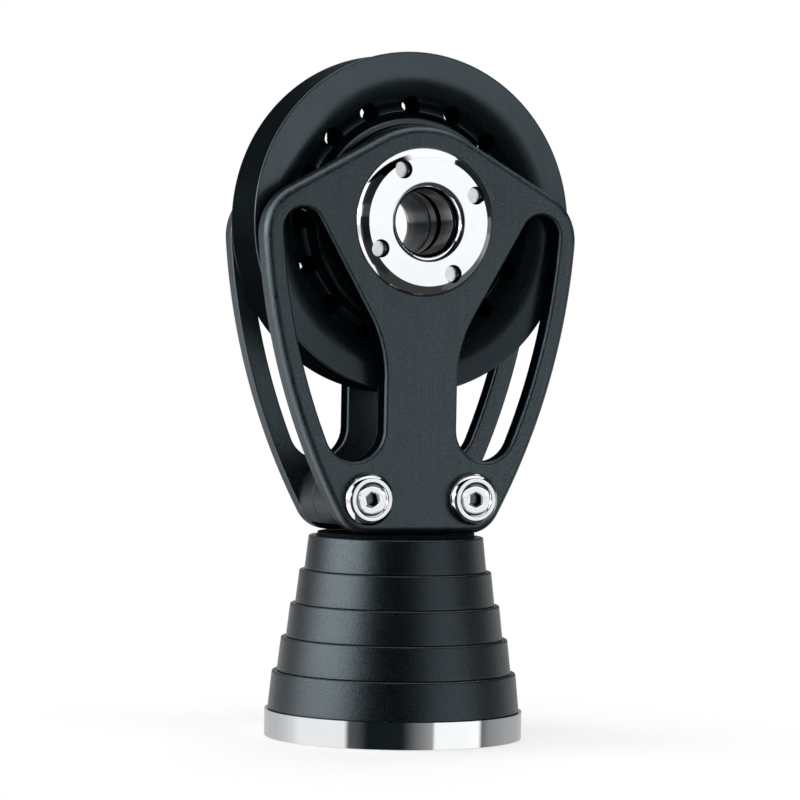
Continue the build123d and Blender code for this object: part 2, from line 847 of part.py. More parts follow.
with BuildPart() as spring:
    coil_bottom = lower_seat_top_z + coil_end_cut
    coil_top = upper_seat_under_z - coil_end_cut
    with BuildLine(Plane.XY.offset(coil_bottom)):
        wire_path = Helix(coil_pitch, coil_top - coil_bottom, coil_r)
    with BuildSketch(Plane(origin=wire_path @ 0, z_dir=wire_path % 0)):
        Circle(wire_r)
    sweep(path=wire_path, is_frenet=True)
    free_length = upper_seat_under_z - lower_seat_top_z - 2 * running_gap
    with Locations((0, 0, (lower_seat_top_z + upper_seat_under_z) / 2)):
        Cylinder(coil_r + 2 * wire_r, free_length, mode=Mode.INTERSECT)
finish(spring, "spring")

# Rubber boot: stepped tiers from the base's plinth up to the slot in the post
boot_foot_z = base_height + soft_gap / 2
boot_top_z = flange_under_z - (boot_slot - boot_top_wall) / 2
boot_ceiling_z = boot_top_z - boot_top_wall
ledges_z = [boot_top_z - top_tier_height - i * tier_height for i in range(boot_tiers - 1)]
with BuildPart() as boot:
    outside_points = []
    inside_points = [(neck_r + soft_gap, boot_ceiling_z)]
    for tier in range(boot_tiers):
        top_r = boot_top_r + tier * tier_step
        top_z = boot_top_z if tier == 0 else ledges_z[tier - 1]
        low_z = boot_foot_z if tier == boot_tiers - 1 else ledges_z[tier]
        outside_points += [(top_r - boot_edge, top_z), (top_r, top_z - boot_edge)]
        outside_points.append((top_r + tier_flare, low_z))
        roof_z = boot_ceiling_z if tier == 0 else top_z - boot_wall
        floor_z = plinth_z if tier == boot_tiers - 1 else low_z - boot_wall
        inside_points += [(top_r - boot_wall, roof_z), (top_r - boot_wall, floor_z)]
    bead_z = base_height + bead_lift + soft_gap
    inside_points += [
        (plinth_r + soft_gap, plinth_z),
        (plinth_r + soft_gap, bead_z + bead_height - 2 * soft_gap),
        (plinth_r - bead_depth + soft_gap, bead_z + bead_height - 2 * soft_gap),
        (plinth_r - bead_depth + soft_gap, bead_z),
        (plinth_r + soft_gap, bead_z),
        (plinth_r + soft_gap, boot_foot_z),
    ]
    with BuildSketch(Plane.XZ):
        with BuildLine():
            Polyline(
                (neck_r + soft_gap, boot_top_z), *outside_points, *reversed(inside_points), close=True
            )
        make_face()
    revolve(axis=Axis.Z)
finish(boot, "boot")
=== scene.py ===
"""Stand-up block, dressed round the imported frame.

A large sheave turns between two open cheeks on a swivel head, over a stepped rubber boot and a
round polished base. Sizes in the classes are millimetres and are multiplied by MM on their way
into a mesh. The origin is the centre of the base's underside, +Z is up, the sheave's axle lies
along Y, and the near side is -Y.
"""

from __future__ import annotations

import json
import logging
import math
from collections.abc import Callable, Iterable, Iterator
from contextlib import contextmanager
from dataclasses import dataclass, field
from enum import Enum

import bmesh
import bpy
from mathutils import Matrix, Vector

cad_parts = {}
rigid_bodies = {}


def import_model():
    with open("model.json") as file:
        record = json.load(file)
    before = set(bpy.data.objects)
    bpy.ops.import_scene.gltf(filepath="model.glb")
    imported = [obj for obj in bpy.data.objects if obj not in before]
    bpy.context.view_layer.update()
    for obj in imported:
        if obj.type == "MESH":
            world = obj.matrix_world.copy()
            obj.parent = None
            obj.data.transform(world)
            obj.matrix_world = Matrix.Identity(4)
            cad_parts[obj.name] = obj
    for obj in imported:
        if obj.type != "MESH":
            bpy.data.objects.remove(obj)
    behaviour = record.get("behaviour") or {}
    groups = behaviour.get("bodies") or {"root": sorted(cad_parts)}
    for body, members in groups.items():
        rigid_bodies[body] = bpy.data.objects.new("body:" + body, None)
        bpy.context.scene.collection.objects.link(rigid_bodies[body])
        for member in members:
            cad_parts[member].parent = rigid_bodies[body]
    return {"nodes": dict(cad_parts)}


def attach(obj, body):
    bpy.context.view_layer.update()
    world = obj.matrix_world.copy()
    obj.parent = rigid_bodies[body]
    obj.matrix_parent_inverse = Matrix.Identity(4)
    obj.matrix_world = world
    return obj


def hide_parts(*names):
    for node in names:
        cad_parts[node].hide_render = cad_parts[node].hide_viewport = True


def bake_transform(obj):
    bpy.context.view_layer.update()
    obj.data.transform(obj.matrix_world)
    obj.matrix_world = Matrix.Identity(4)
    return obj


LOG = logging.getLogger("stand_up_block")
MM = 0.001

# Merging and cutting, in metres
MERGE_DISTANCE = 1e-6
CUT_TOLERANCE = 1e-7

# Fineness: how far an arc's edges may leave the arc in millimetres, and numbers of steps
ARC_FLATNESS = 0.008
BOW_STEPS = 14
TURN_STEPS = 192
HOLE_SIDES = 40

# How far a cutter reaches from the middle plane and past a face, in millimetres
CUTTER_REACH = 40.0
OVERCUT = 1.0

# How far an edge may lie off the depth it is looked for at, in millimetres
EDGE_MARGIN = 0.01

# The sharpest angle left alone on polished steel, in degrees, and how flat faces shade
METAL_ANGLE = 30.0
FLAT_FACE_WEIGHT = 80

Point = tuple[float, float]
Spot = tuple[float, float, float]
Colour = tuple[float, float, float]
Sockets = dict[str | int, object]


class Side(Enum):
    """The two sides of the block, along the axle."""

    NEAR = -1
    FAR = 1

    @property
    def label(self) -> str:
        """Return the side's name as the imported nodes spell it."""
        return self.name.lower()


class TurningAxis(Enum):
    """The axes that turned and polished surfaces were worked about."""

    UPRIGHT = "upright"
    AXLE = "axle"
    SCREWS = "screws"


# ---------------------------------------------------------------------------------------------
# Shader nodes
# ---------------------------------------------------------------------------------------------


class Wire:
    """The output of a shader node, on which arithmetic adds Math nodes."""

    def __init__(self, graph: Graph, socket: bpy.types.NodeSocket | None) -> None:
        """Wrap a socket of a graph."""
        self.graph = graph
        self.socket = socket

    def maths(self, operation: str, *others: Wire | float) -> Wire:
        """Put this value through a Math node.

        Args:
            operation: The Math node's operation.
            others: The node's second and third values.

        Returns:
            The result.
        """
        values = dict(enumerate((self, *others)))
        return self.graph.node("ShaderNodeMath", {"operation": operation}, values)

    def __add__(self, other: Wire | float) -> Wire:
        """Return self + other."""
        return self.maths("ADD", other)

    __radd__ = __add__

    def __sub__(self, other: Wire | float) -> Wire:
        """Return self - other."""
        return self.maths("SUBTRACT", other)

    def __rsub__(self, other: float) -> Wire:
        """Return other - self."""
        return (self * -1.0) + other

    def __mul__(self, other: Wire | float) -> Wire:
        """Return self * other."""
        return self.maths("MULTIPLY", other)

    __rmul__ = __mul__

    def __truediv__(self, other: Wire | float) -> Wire:
        """Return self / other."""
        return self.maths("DIVIDE", other)

    def __abs__(self) -> Wire:
        """Return the value without its sign."""
        return self.maths("ABSOLUTE")

    def step(self, low: float, high: float) -> Wire:
        """Let the value rise smoothly from 0 to 1.

        Args:
            low: Where it leaves 0.
            high: Where it reaches 1.

        Returns:
            The share that is reached.
        """
        settings = {"interpolation_type": "SMOOTHSTEP"}
        sockets = {"Value": self, "From Min": low, "From Max": high}
        return self.graph.node("ShaderNodeMapRange", settings, sockets)


class Graph:
    """The node tree of one material or of the world."""

    def __init__(self, tree: bpy.types.NodeTree) -> None:
        """Empty a tree and take it over."""
        self.tree = tree
        tree.nodes.clear()

    def node(
        self,
        kind: str,
        settings: dict[str, object] | None = None,
        sockets: Sockets | None = None,
        output: str | int = 0,
    ) -> Wire:
        """Add a node.

        Args:
            kind: The node's type.
            settings: Its properties, set first. "stops" holds a ramp's positions and colours.
            sockets: Values or wires for its inputs, by name or number.
            output: The output that is wanted.

        Returns:
            That output.
        """
        made = self.tree.nodes.new(kind)
        for name, value in (settings or {}).items():
            if name == "stops":
                self._set_stops(made.color_ramp, value)
            else:
                setattr(made, name, value)
        for key, value in (sockets or {}).items():
            if isinstance(value, Wire):
                self.tree.links.new(value.socket, made.inputs[key])
            else:
                made.inputs[key].default_value = value
        return Wire(self, made.outputs[output] if made.outputs else None)

    @staticmethod
    def _set_stops(ramp: bpy.types.ColorRamp, stops: Iterable[tuple[float, float]]) -> None:
        """Give a ramp its stops.

        Args:
            ramp: The ramp.
            stops: The position and grey level of each.
        """
        while len(ramp.elements) > 1:
            ramp.elements.remove(ramp.elements[-1])
        for index, (position, level) in enumerate(stops):
            element = ramp.elements[0] if index == 0 else ramp.elements.new(position)
            element.position = position
            element.color = (level, level, level, 1.0)

    def mix(self, factor: Wire | float, first: object, second: object) -> Wire:
        """Mix two colours.

        Args:
            factor: 0 for the first colour and 1 for the second.
            first: A colour or a wire.
            second: A colour or a wire.

        Returns:
            The mixed colour.
        """
        first, second = (
            (*colour, 1.0) if isinstance(colour, tuple) else colour for colour in (first, second)
        )
        settings = {"data_type": "RGBA", "clamp_factor": True}
        return self.node("ShaderNodeMix", settings, {0: factor, 6: first, 7: second}, 2)

    def vector(self, operation: str, first: object, second: object) -> Wire:
        """Put two vectors through a Vector Math node.

        Args:
            operation: The node's operation.
            first: A vector or a wire.
            second: A vector or a wire.

        Returns:
            The resulting vector.
        """
        settings = {"operation": operation}
        return self.node("ShaderNodeVectorMath", settings, {0: first, 1: second})

    def length(self, vector: Wire) -> Wire:
        """Return the length of a vector."""
        settings = {"operation": "LENGTH"}
        return self.node("ShaderNodeVectorMath", settings, {0: vector}, "Value")

    def place(self) -> Wire:
        """Return the point that is shaded, in the part's own frame."""
        return self.node("ShaderNodeTexCoord", output="Object")

    def noise(
        self, vector: Wire, scale: float, detail: float = 2.0, roughness: float = 0.5
    ) -> Wire:
        """Add noise about 0.5.

        Args:
            vector: The place that the noise is read at.
            scale: One over the size of its features.
            detail: How many finer layers it has.
            roughness: How strongly these count.

        Returns:
            The noise.
        """
        sockets = {"Vector": vector, "Scale": scale, "Detail": detail, "Roughness": roughness}
        return self.node("ShaderNodeTexNoise", None, sockets)

    def bump(self, height: Wire, depth: float, strength: float = 1.0) -> Wire:
        """Tilt the normal by a height.

        Args:
            height: The height, from 0 to 1.
            depth: What its range stands for, in millimetres.
            strength: The share of the tilt that shows.

        Returns:
            The normal.
        """
        sockets = {"Height": height, "Distance": depth * MM, "Strength": strength}
        return self.node("ShaderNodeBump", None, sockets, "Normal")

    def split(self, vector: Wire) -> tuple[Wire, Wire, Wire]:
        """Return a vector's three parts."""
        outputs = self.node("ShaderNodeSeparateXYZ", None, {0: vector}).socket.node.outputs
        return tuple(Wire(self, output) for output in outputs)

    def join(self, x: Wire | float, y: Wire | float, z: Wire | float) -> Wire:
        """Return the vector with these three parts."""
        return self.node("ShaderNodeCombineXYZ", None, {0: x, 1: y, 2: z})

    def show(self, shader: Wire) -> None:
        """Put a shader on the material's surface."""
        self.node("ShaderNodeOutputMaterial", None, {"Surface": shader})


def new_material(name: str) -> tuple[bpy.types.Material, Graph]:
    """Make an empty material.

    Args:
        name: Its name.

    Returns:
        The material and its graph.
    """
    made = bpy.data.materials.new(name)
    made.use_nodes = True
    return made, Graph(made.node_tree)


def weigh(middle: float, noises: Iterable[Wire], weights: Iterable[float]) -> Wire:
    """Move a value by noises about 0.5.

    Args:
        middle: The value where every noise is 0.5.
        noises: The noises.
        weights: How strongly each of them counts.

    Returns:
        The moved value.
    """
    first, *others = (
        (noise - 0.5) * weight for noise, weight in zip(noises, weights, strict=True)
    )
    return sum(others, first) + middle


def scaled(colour: Colour, share: float) -> Colour:
    """Return a colour with every part times a share."""
    return tuple(part * share for part in colour)


# ---------------------------------------------------------------------------------------------
# Finishes
# ---------------------------------------------------------------------------------------------


@dataclass(frozen=True)
class Finish:
    """What all finishes share: a name and a way to make their material."""

    name: str

    def surface(self, graph: Graph) -> Sockets:
        """Work out the sockets of the Principled shader.

        Args:
            graph: The material's graph.

        Returns:
            Values and wires by socket name.
        """
        raise NotImplementedError

    def material(self) -> bpy.types.Material:
        """Make the finish's material, once.

        Returns:
            The material.
        """
        known = bpy.data.materials.get(self.name)
        if known is not None:
            return known
        made, graph = new_material(self.name)
        graph.show(graph.node("ShaderNodeBsdfPrincipled", None, self.surface(graph)))
        return made


@dataclass(frozen=True)
class Grained(Finish):
    """What black surfaces with a fine grain share.

    Attributes:
        dark: The colour in the grain's hollows.
        pale: The colour on its tops.
        gloss: The shine's level.
        gloss_tint: The shine's colour.
        roughness: The middle roughness.
        grain: The grain's size in millimetres, its detail and its own roughness.
        cloud: The scale, detail and roughness of the broad clouds.
        streaks: The scale of the upright streaks along X, Y and Z.
        tone: How strongly grain, clouds and streaks count in the colour.
        tone_middle: How far the colour lies towards pale where they are even.
        unevenness: How strongly grain and clouds count in the roughness.
        relief: The grain's depth in millimetres.
    """

    dark: Colour
    pale: Colour
    gloss: float
    gloss_tint: Colour
    roughness: float
    grain: Spot
    cloud: Spot
    streaks: Spot
    tone: Spot
    tone_middle: float
    unevenness: Point
    relief: float

    def surface(self, graph: Graph) -> Sockets:
        """Work out the sockets of the Principled shader.

        Args:
            graph: The material's graph.

        Returns:
            Values and wires by socket name.
        """
        here = graph.place()
        size, detail, roughness = self.grain
        grain = graph.noise(here, 1.0 / (size * MM), detail, roughness)
        cloud = graph.noise(here, *self.cloud)
        streak = graph.noise(graph.vector("MULTIPLY", here, self.streaks), 1.0)
        tone = weigh(self.tone_middle, (grain, cloud, streak), self.tone)
        return {
            "Base Color": graph.mix(tone, self.dark, self.pale),
            "Roughness": weigh(self.roughness, (grain, cloud), self.unevenness),
            "Specular IOR Level": self.gloss,
            "Specular Tint": (*self.gloss_tint, 1.0),
            "Normal": graph.bump(grain, self.relief),
        }


@dataclass(frozen=True)
class BlastedAnodising(Grained):
    """Black hard anodising over a bead-blasted plate: a fine grain and faint upright streaks."""

    dark: Colour = (0.0004, 0.0012, 0.0018)
    pale: Colour = (0.0175, 0.0240, 0.0280)
    gloss: float = 1.0
    gloss_tint: Colour = (0.72, 0.90, 1.0)
    roughness: float = 0.31
    grain: Spot = (0.50, 3.0, 0.6)
    cloud: Spot = (90.0, 3.0, 0.55)
    streaks: Spot = (900.0, 900.0, 45.0)
    tone: Spot = (7.0, 1.0, 1.4)
    tone_middle: float = 0.42
    unevenness: Point = (0.22, 0.10)
    relief: float = 0.15


@dataclass(frozen=True)
class MouldedRubber(Grained):
    """Matte black rubber with a fine moulded grain."""

    dark: Colour = (0.0006, 0.0016, 0.0022)
    pale: Colour = (0.0056, 0.0082, 0.0100)
    gloss: float = 0.62
    gloss_tint: Colour = (0.74, 0.91, 1.0)
    roughness: float = 0.25
    grain: Spot = (0.45, 3.0, 0.65)
    cloud: Spot = (55.0, 4.0, 0.6)
    streaks: Spot = (1100.0, 1100.0, 90.0)
    tone: Spot = (5.0, 0.8, 1.0)
    tone_middle: float = 0.40
    unevenness: Point = (0.20, 0.12)
    relief: float = 0.085


@dataclass(frozen=True)
class Turned(Finish):
    """What surfaces that were turned or polished about an axis share.

    Attributes:
        axis: The axis.
        roughness: The middle roughness.
        pitch: How far apart the tool's rings lie, in millimetres.
        drift: How much they change on their way round.
        haze: The scale and detail of the broad haze.
        unevenness: How strongly rings and haze count in the roughness.
        relief: The rings' depth in millimetres and the share of their tilt that shows.
    """

    axis: TurningAxis
    roughness: float
    pitch: float
    drift: float
    haze: Point
    unevenness: Point
    relief: Point

    def arms(self, graph: Graph) -> tuple[Wire, Wire, Wire]:
        """Find how far a point lies along the axis and off it.

        Args:
            graph: The material's graph.

        Returns:
            The two distances across the axis and the one along it, in millimetres.
        """
        x, y, z = graph.split(graph.vector("MULTIPLY", graph.place(), (1 / MM,) * 3))
        if self.axis is TurningAxis.UPRIGHT:
            return x, y, z
        if self.axis is TurningAxis.AXLE:
            return x, z - AXLE_HEIGHT, y
        return abs(x) - SCREW_REACH, z - SCREW_HEIGHT, y

    def rings(self, graph: Graph) -> Wire:
        """Draw the fine marks that run round the axis.

        Args:
            graph: The material's graph.

        Returns:
            Noise about 0.5.
        """
        first, second, along = self.arms(graph)
        across = graph.join(first, second, 0.0)
        radius = graph.length(across)
        around = graph.vector("NORMALIZE", across, (0.0, 0.0, 0.0))
        cosine, sine, _ = graph.split(around)
        marks = graph.join(radius / self.pitch, along / self.pitch, cosine * self.drift)
        sockets = {"Vector": marks, "W": sine * self.drift, "Scale": 1.0, "Detail": 2.0}
        return graph.node("ShaderNodeTexNoise", {"noise_dimensions": "4D"}, sockets)

    def tint(self, graph: Graph, rings: Wire, haze: Wire) -> Wire:
        """Work out the colour.

        Args:
            graph: The material's graph.
            rings: The tool's rings.
            haze: The broad haze.

        Returns:
            The colour.
        """
        raise NotImplementedError

    def surface(self, graph: Graph) -> Sockets:
        """Work out the sockets of the Principled shader.

        Args:
            graph: The material's graph.

        Returns:
            Values and wires by socket name.
        """
        rings = self.rings(graph)
        haze = graph.noise(graph.place(), *self.haze)
        return {
            "Base Color": self.tint(graph, rings, haze),
            "Roughness": weigh(self.roughness, (rings, haze), self.unevenness),
            "Normal": graph.bump(rings, *self.relief),
        }


@dataclass(frozen=True)
class TurnedAnodising(Turned):
    """Satin black anodising over turned aluminium, with fine rings from the tool."""

    axis: TurningAxis = TurningAxis.AXLE
    roughness: float = 0.27
    pitch: float = 0.16
    drift: float = 1.2
    haze: Point = (120.0, 3.0)
    unevenness: Point = (0.16, 0.10)
    relief: Point = (0.004, 0.6)
    dark: Colour = (0.0008, 0.0016, 0.0022)
    pale: Colour = (0.0035, 0.0060, 0.0075)
    tone: Point = (0.8, 0.6)
    gloss: float = 0.80
    gloss_tint: Colour = (0.72, 0.90, 1.0)
    ring_share: float = 1.0

    def rings(self, graph: Graph) -> Wire:
        """Draw the rings, weaker where blasting has worn them."""
        return weigh(0.5, (super().rings(graph),), (self.ring_share,))

    def tint(self, graph: Graph, rings: Wire, haze: Wire) -> Wire:
        """Shade the black by rings and haze."""
        return graph.mix(weigh(0.5, (rings, haze), self.tone), self.dark, self.pale)

    def surface(self, graph: Graph) -> Sockets:
        """Work out the sockets, with the level and colour of the shine."""
        shine = {"Specular IOR Level": self.gloss, "Specular Tint": (*self.gloss_tint, 1.0)}
        return super().surface(graph) | shine


@dataclass(frozen=True)
class Steel(Turned):
    """Stainless steel: its colour, and the share of it that the shaded places have."""

    colour: Colour
    shade: float

    def surface(self, graph: Graph) -> Sockets:
        """Work out the sockets of a metal."""
        return super().surface(graph) | {"Metallic": 1.0}


@dataclass(frozen=True)
class PolishedSteel(Steel):
    """Bright polished stainless steel with hairline marks round its axis."""

    roughness: float = 0.055
    pitch: float = 0.10
    drift: float = 2.5
    haze: Point = (160.0, 4.0)
    unevenness: Point = (0.04, 0.04)
    relief: Point = (0.0006, 0.5)
    colour: Colour = (0.590, 0.603, 0.615)
    shade: float = 0.93

    def tint(self, graph: Graph, rings: Wire, haze: Wire) -> Wire:
        """Shade the steel by its haze."""
        return graph.mix(haze, self.colour, scaled(self.colour, self.shade))


@dataclass(frozen=True)
class MachinedSteel(Steel):
    """Machined stainless steel with visible tool rings."""

    roughness: float = 0.30
    pitch: float = 0.22
    drift: float = 2.0
    haze: Point = (220.0, 3.0)
    unevenness: Point = (0.22, 0.12)
    relief: Point = (0.008, 0.6)
    colour: Colour = (0.42, 0.43, 0.44)
    shade: float = 0.72

    def tint(self, graph: Graph, rings: Wire, haze: Wire) -> Wire:
        """Shade the steel by its rings and its haze."""
        return graph.mix((rings + haze) * 0.5, self.colour, scaled(self.colour, self.shade))


@dataclass(frozen=True)
class BoredSteel(MachinedSteel):
    """The hub's bored wall, with painted shade: dark deep in, lighter towards the mouth."""

    dull: Colour = (0.040, 0.044, 0.048)
    bright: Colour = (0.22, 0.228, 0.235)
    reach: Point = (11.0, 21.0)

    def tint(self, graph: Graph, rings: Wire, haze: Wire) -> Wire:
        """Paint shade along the axis, darker deep in the bore."""
        _, _, along = self.arms(graph)
        return graph.mix(abs(along).step(*self.reach), self.dull, self.bright)


@dataclass(frozen=True)
class BlackAcetal(Finish):
    """Black moulded acetal, slightly waxy.

    Attributes:
        colour: The darkest colour.
        pale: How much paler the palest one is.
        roughness: The middle roughness.
        flow: The scale and detail of the marks that the flowing plastic leaves.
        flow_tone: How strongly they count in the colour.
        flow_haze: How strongly they count in the roughness.
        grain_scale: The scale of the fine grain.
        grain_relief: Its depth in millimetres and the share of its tilt that shows.
    """

    colour: Colour = (0.018, 0.018, 0.019)
    pale: float = 2.2
    roughness: float = 0.38
    flow: Point = (180.0, 4.0)
    flow_tone: float = 0.6
    flow_haze: float = 0.18
    grain_scale: float = 1500.0
    grain_relief: Point = (0.01, 0.3)

    def surface(self, graph: Graph) -> Sockets:
        """Work out the sockets of the Principled shader.

        Args:
            graph: The material's graph.

        Returns:
            Values and wires by socket name.
        """
        here = graph.place()
        flow = graph.noise(here, *self.flow)
        pale = scaled(self.colour, self.pale)
        return {
            "Base Color": graph.mix(flow * self.flow_tone, self.colour, pale),
            "Roughness": weigh(self.roughness, (flow,), (self.flow_haze,)),
            "Normal": graph.bump(graph.noise(here, self.grain_scale), *self.grain_relief),
        }


CHEEK_FINISH = BlastedAnodising("cheek_anodising")
# Window walls: the cheek's anodising made darker and without shine, as painted shade inside the
# windows.
WINDOW_SHADE_FINISH = BlastedAnodising("window_anodising", pale=(0.0010, 0.0060, 0.0100), gloss=0.0)
HEAD_FINISH = BlastedAnodising("head_anodising", roughness=0.33, gloss=0.50)
SHEAVE_FINISH = TurnedAnodising("sheave_anodising")
GROOVE_FINISH = TurnedAnodising("groove_anodising", gloss=0.35, roughness=0.30, ring_share=0.25)
# Painted shade on the sheave: its drilled holes, boss face and web get the anodising without shine.
SHEAVE_SHADE_FINISH = TurnedAnodising("drilled_anodising", gloss=0.0, roughness=0.90)
# The swivel post: the turned anodising without shine, as painted shade under the head.
POST_SHADE_FINISH = TurnedAnodising("post_anodising", TurningAxis.UPRIGHT, gloss=0.05, roughness=0.60)
BASE_FINISH = PolishedSteel(
    "base_polish", TurningAxis.UPRIGHT, colour=(0.66, 0.67, 0.68), roughness=0.035
)
CAP_FINISH = PolishedSteel("cap_polish", TurningAxis.AXLE)
SCREW_FINISH = PolishedSteel("screw_polish", TurningAxis.SCREWS)
PIN_FINISH = MachinedSteel("pin_steel", TurningAxis.UPRIGHT)
SPRING_FINISH = MachinedSteel("spring_steel", TurningAxis.UPRIGHT, colour=(0.36, 0.37, 0.38))
RACE_FINISH = MachinedSteel("race_steel", TurningAxis.AXLE, roughness=0.2)
WASHER_FINISH = MachinedSteel("washer_steel", TurningAxis.AXLE, colour=(0.05, 0.053, 0.056))
BORE_SHADE_FINISH = BoredSteel("bore_steel", TurningAxis.AXLE, roughness=0.20)
KEY_FLOOR_FINISH = MachinedSteel(
    "key_floor", TurningAxis.AXLE, colour=(0.70, 0.71, 0.72), roughness=0.24
)
# Painted shade: the key holes' walls and chamfers are dark steel, a dark ring round each floor.
KEY_WALL_SHADE_FINISH = MachinedSteel(
    "key_wall", TurningAxis.AXLE, colour=(0.12, 0.125, 0.13), roughness=0.24
)
# Painted shade: the hexagon sockets are dark steel.
SOCKET_SHADE_FINISH = MachinedSteel("socket_steel", TurningAxis.SCREWS, colour=(0.10, 0.104, 0.108))
BUSH_FINISH = MachinedSteel("bush_steel", TurningAxis.SCREWS)
RUBBER_FINISH = MouldedRubber("boot_rubber")
ACETAL_FINISH = BlackAcetal("black_acetal")

NODES_BY_FINISH: dict[Finish, tuple[str, ...]] = {
    PIN_FINISH: (
        "lower_pin", "lower_pin_clips", "upper_pin", "upper_pin_clips", "toggle_link",
        "stem_collar",
    ),
    POST_SHADE_FINISH: ("swivel_post",),
    ACETAL_FINISH: (
        "lower_spring_seat", "upper_spring_seat", "thrust_washer", "roller_cage",
        "near_ball_ring", "far_ball_ring",
    ),
    BUSH_FINISH: ("head_bushes",),
    HEAD_FINISH: ("near_head", "far_head"),
    RACE_FINISH: ("inner_race", "rollers", "near_balls", "far_balls"),
    WASHER_FINISH: ("near_race_washer", "far_race_washer"),
}


# ---------------------------------------------------------------------------------------------
# Bench: modelling with Blender's operators
# ---------------------------------------------------------------------------------------------


@dataclass(frozen=True)
class Board:
    """A drawing board: a plane in space that profiles and outlines are drawn on.

    Attributes:
        origin: Where the drawing's zero lies, in millimetres.
        right: The drawing's first direction.
        up: The drawing's second direction.
    """

    origin: Spot
    right: Spot
    up: Spot

    def place(self, point: Point) -> Vector:
        """Return a drawn point's place, in metres."""
        offset = Vector(self.right) * point[0] + Vector(self.up) * point[1]
        return (Vector(self.origin) + offset) * MM

    @property
    def normal(self) -> Vector:
        """Return the direction that the board faces."""
        return Vector(self.right).cross(Vector(self.up))


AXLE_HEIGHT = 189.0
SCREW_HEIGHT = 88.3
SCREW_REACH = 20.6
ACROSS = (1.0, 0.0, 0.0)
AXLE = (0.0, 1.0, 0.0)
UPRIGHT = (0.0, 0.0, 1.0)
UPRIGHT_BOARD = Board((0.0, 0.0, 0.0), ACROSS, UPRIGHT)
AXLE_BOARD = Board((0.0, 0.0, AXLE_HEIGHT), AXLE, UPRIGHT)


def side_board(side: Side, reach: float = 0.0, height: float = AXLE_HEIGHT) -> Board:
    """Set up a board for a section along the axle's direction, outwards on one side.

    Args:
        side: The side of the block.
        reach: How far to the right the section's axis lies, in millimetres.
        height: How high it lies.

    Returns:
        The board.
    """
    return Board((reach, 0.0, height), (0.0, float(side.value), 0.0), UPRIGHT)


def ring_of(count: int, radius: float, start: float = 0.0) -> list[Point]:
    """Find the places that are spaced evenly round a circle.

    Args:
        count: How many there are.
        radius: The circle's radius.
        start: The first one's direction, in degrees.

    Returns:
        The places, about the circle's centre.
    """
    turns = (math.radians(start) + math.tau * index / count for index in range(count))
    return [(math.cos(turn) * radius, math.sin(turn) * radius) for turn in turns]


def off_axle(spot: Vector) -> float:
    """Return how far a place lies from the axle, in millimetres."""
    return math.hypot(spot.x, spot.z - AXLE_HEIGHT)


def off_hole(spot: Vector, count: int, ring: float, start: float = 0.0) -> float:
    """Measure how far a place lies from the nearest of the holes round the axle.

    Args:
        spot: The place, in millimetres.
        count: How many holes there are.
        ring: The radius that their middles lie at.
        start: The first one's direction, in degrees.

    Returns:
        The distance from its axis, in millimetres.
    """
    turn = math.atan2(spot.z - AXLE_HEIGHT, spot.x) - math.radians(start)
    turn = math.remainder(turn, math.tau / count)
    radius = off_axle(spot)
    return math.hypot(radius * math.cos(turn) - ring, radius * math.sin(turn))


def deselect() -> None:
    """Leave edit mode and deselect every object."""
    active = bpy.context.view_layer.objects.active
    if active is not None and active.mode != "OBJECT":
        bpy.ops.object.mode_set(mode="OBJECT")
    bpy.ops.object.select_all(action="DESELECT")


def take_up(piece: bpy.types.Object) -> None:
    """Select one object and make it active."""
    deselect()
    piece.select_set(True)
    bpy.context.view_layer.objects.active = piece


@contextmanager
def editing(piece: bpy.types.Object) -> Iterator[None]:
    """Hold a piece in edit mode with all of it selected.

    Args:
        piece: The piece.

    Yields:
        Nothing, while the piece is in edit mode.
    """
    take_up(piece)
    bpy.ops.object.mode_set(mode="EDIT")
    bpy.ops.mesh.select_all(action="SELECT")
    yield
    bpy.ops.object.mode_set(mode="OBJECT")


def select_edges(piece: bpy.types.Object, wanted: Callable[[Vector, Vector], bool]) -> None:
    """Select some edges of a piece in edit mode.

    Args:
        piece: The piece.
        wanted: Says yes or no to the places of an edge's two ends, in millimetres.
    """
    bpy.ops.mesh.select_mode(type="EDGE")
    bpy.ops.mesh.select_all(action="DESELECT")
    mesh = bmesh.from_edit_mesh(piece.data)
    for edge in mesh.edges:
        first, second = (vertex.co / MM for vertex in edge.verts)
        edge.select_set(wanted(first, second))
    bmesh.update_edit_mesh(piece.data)


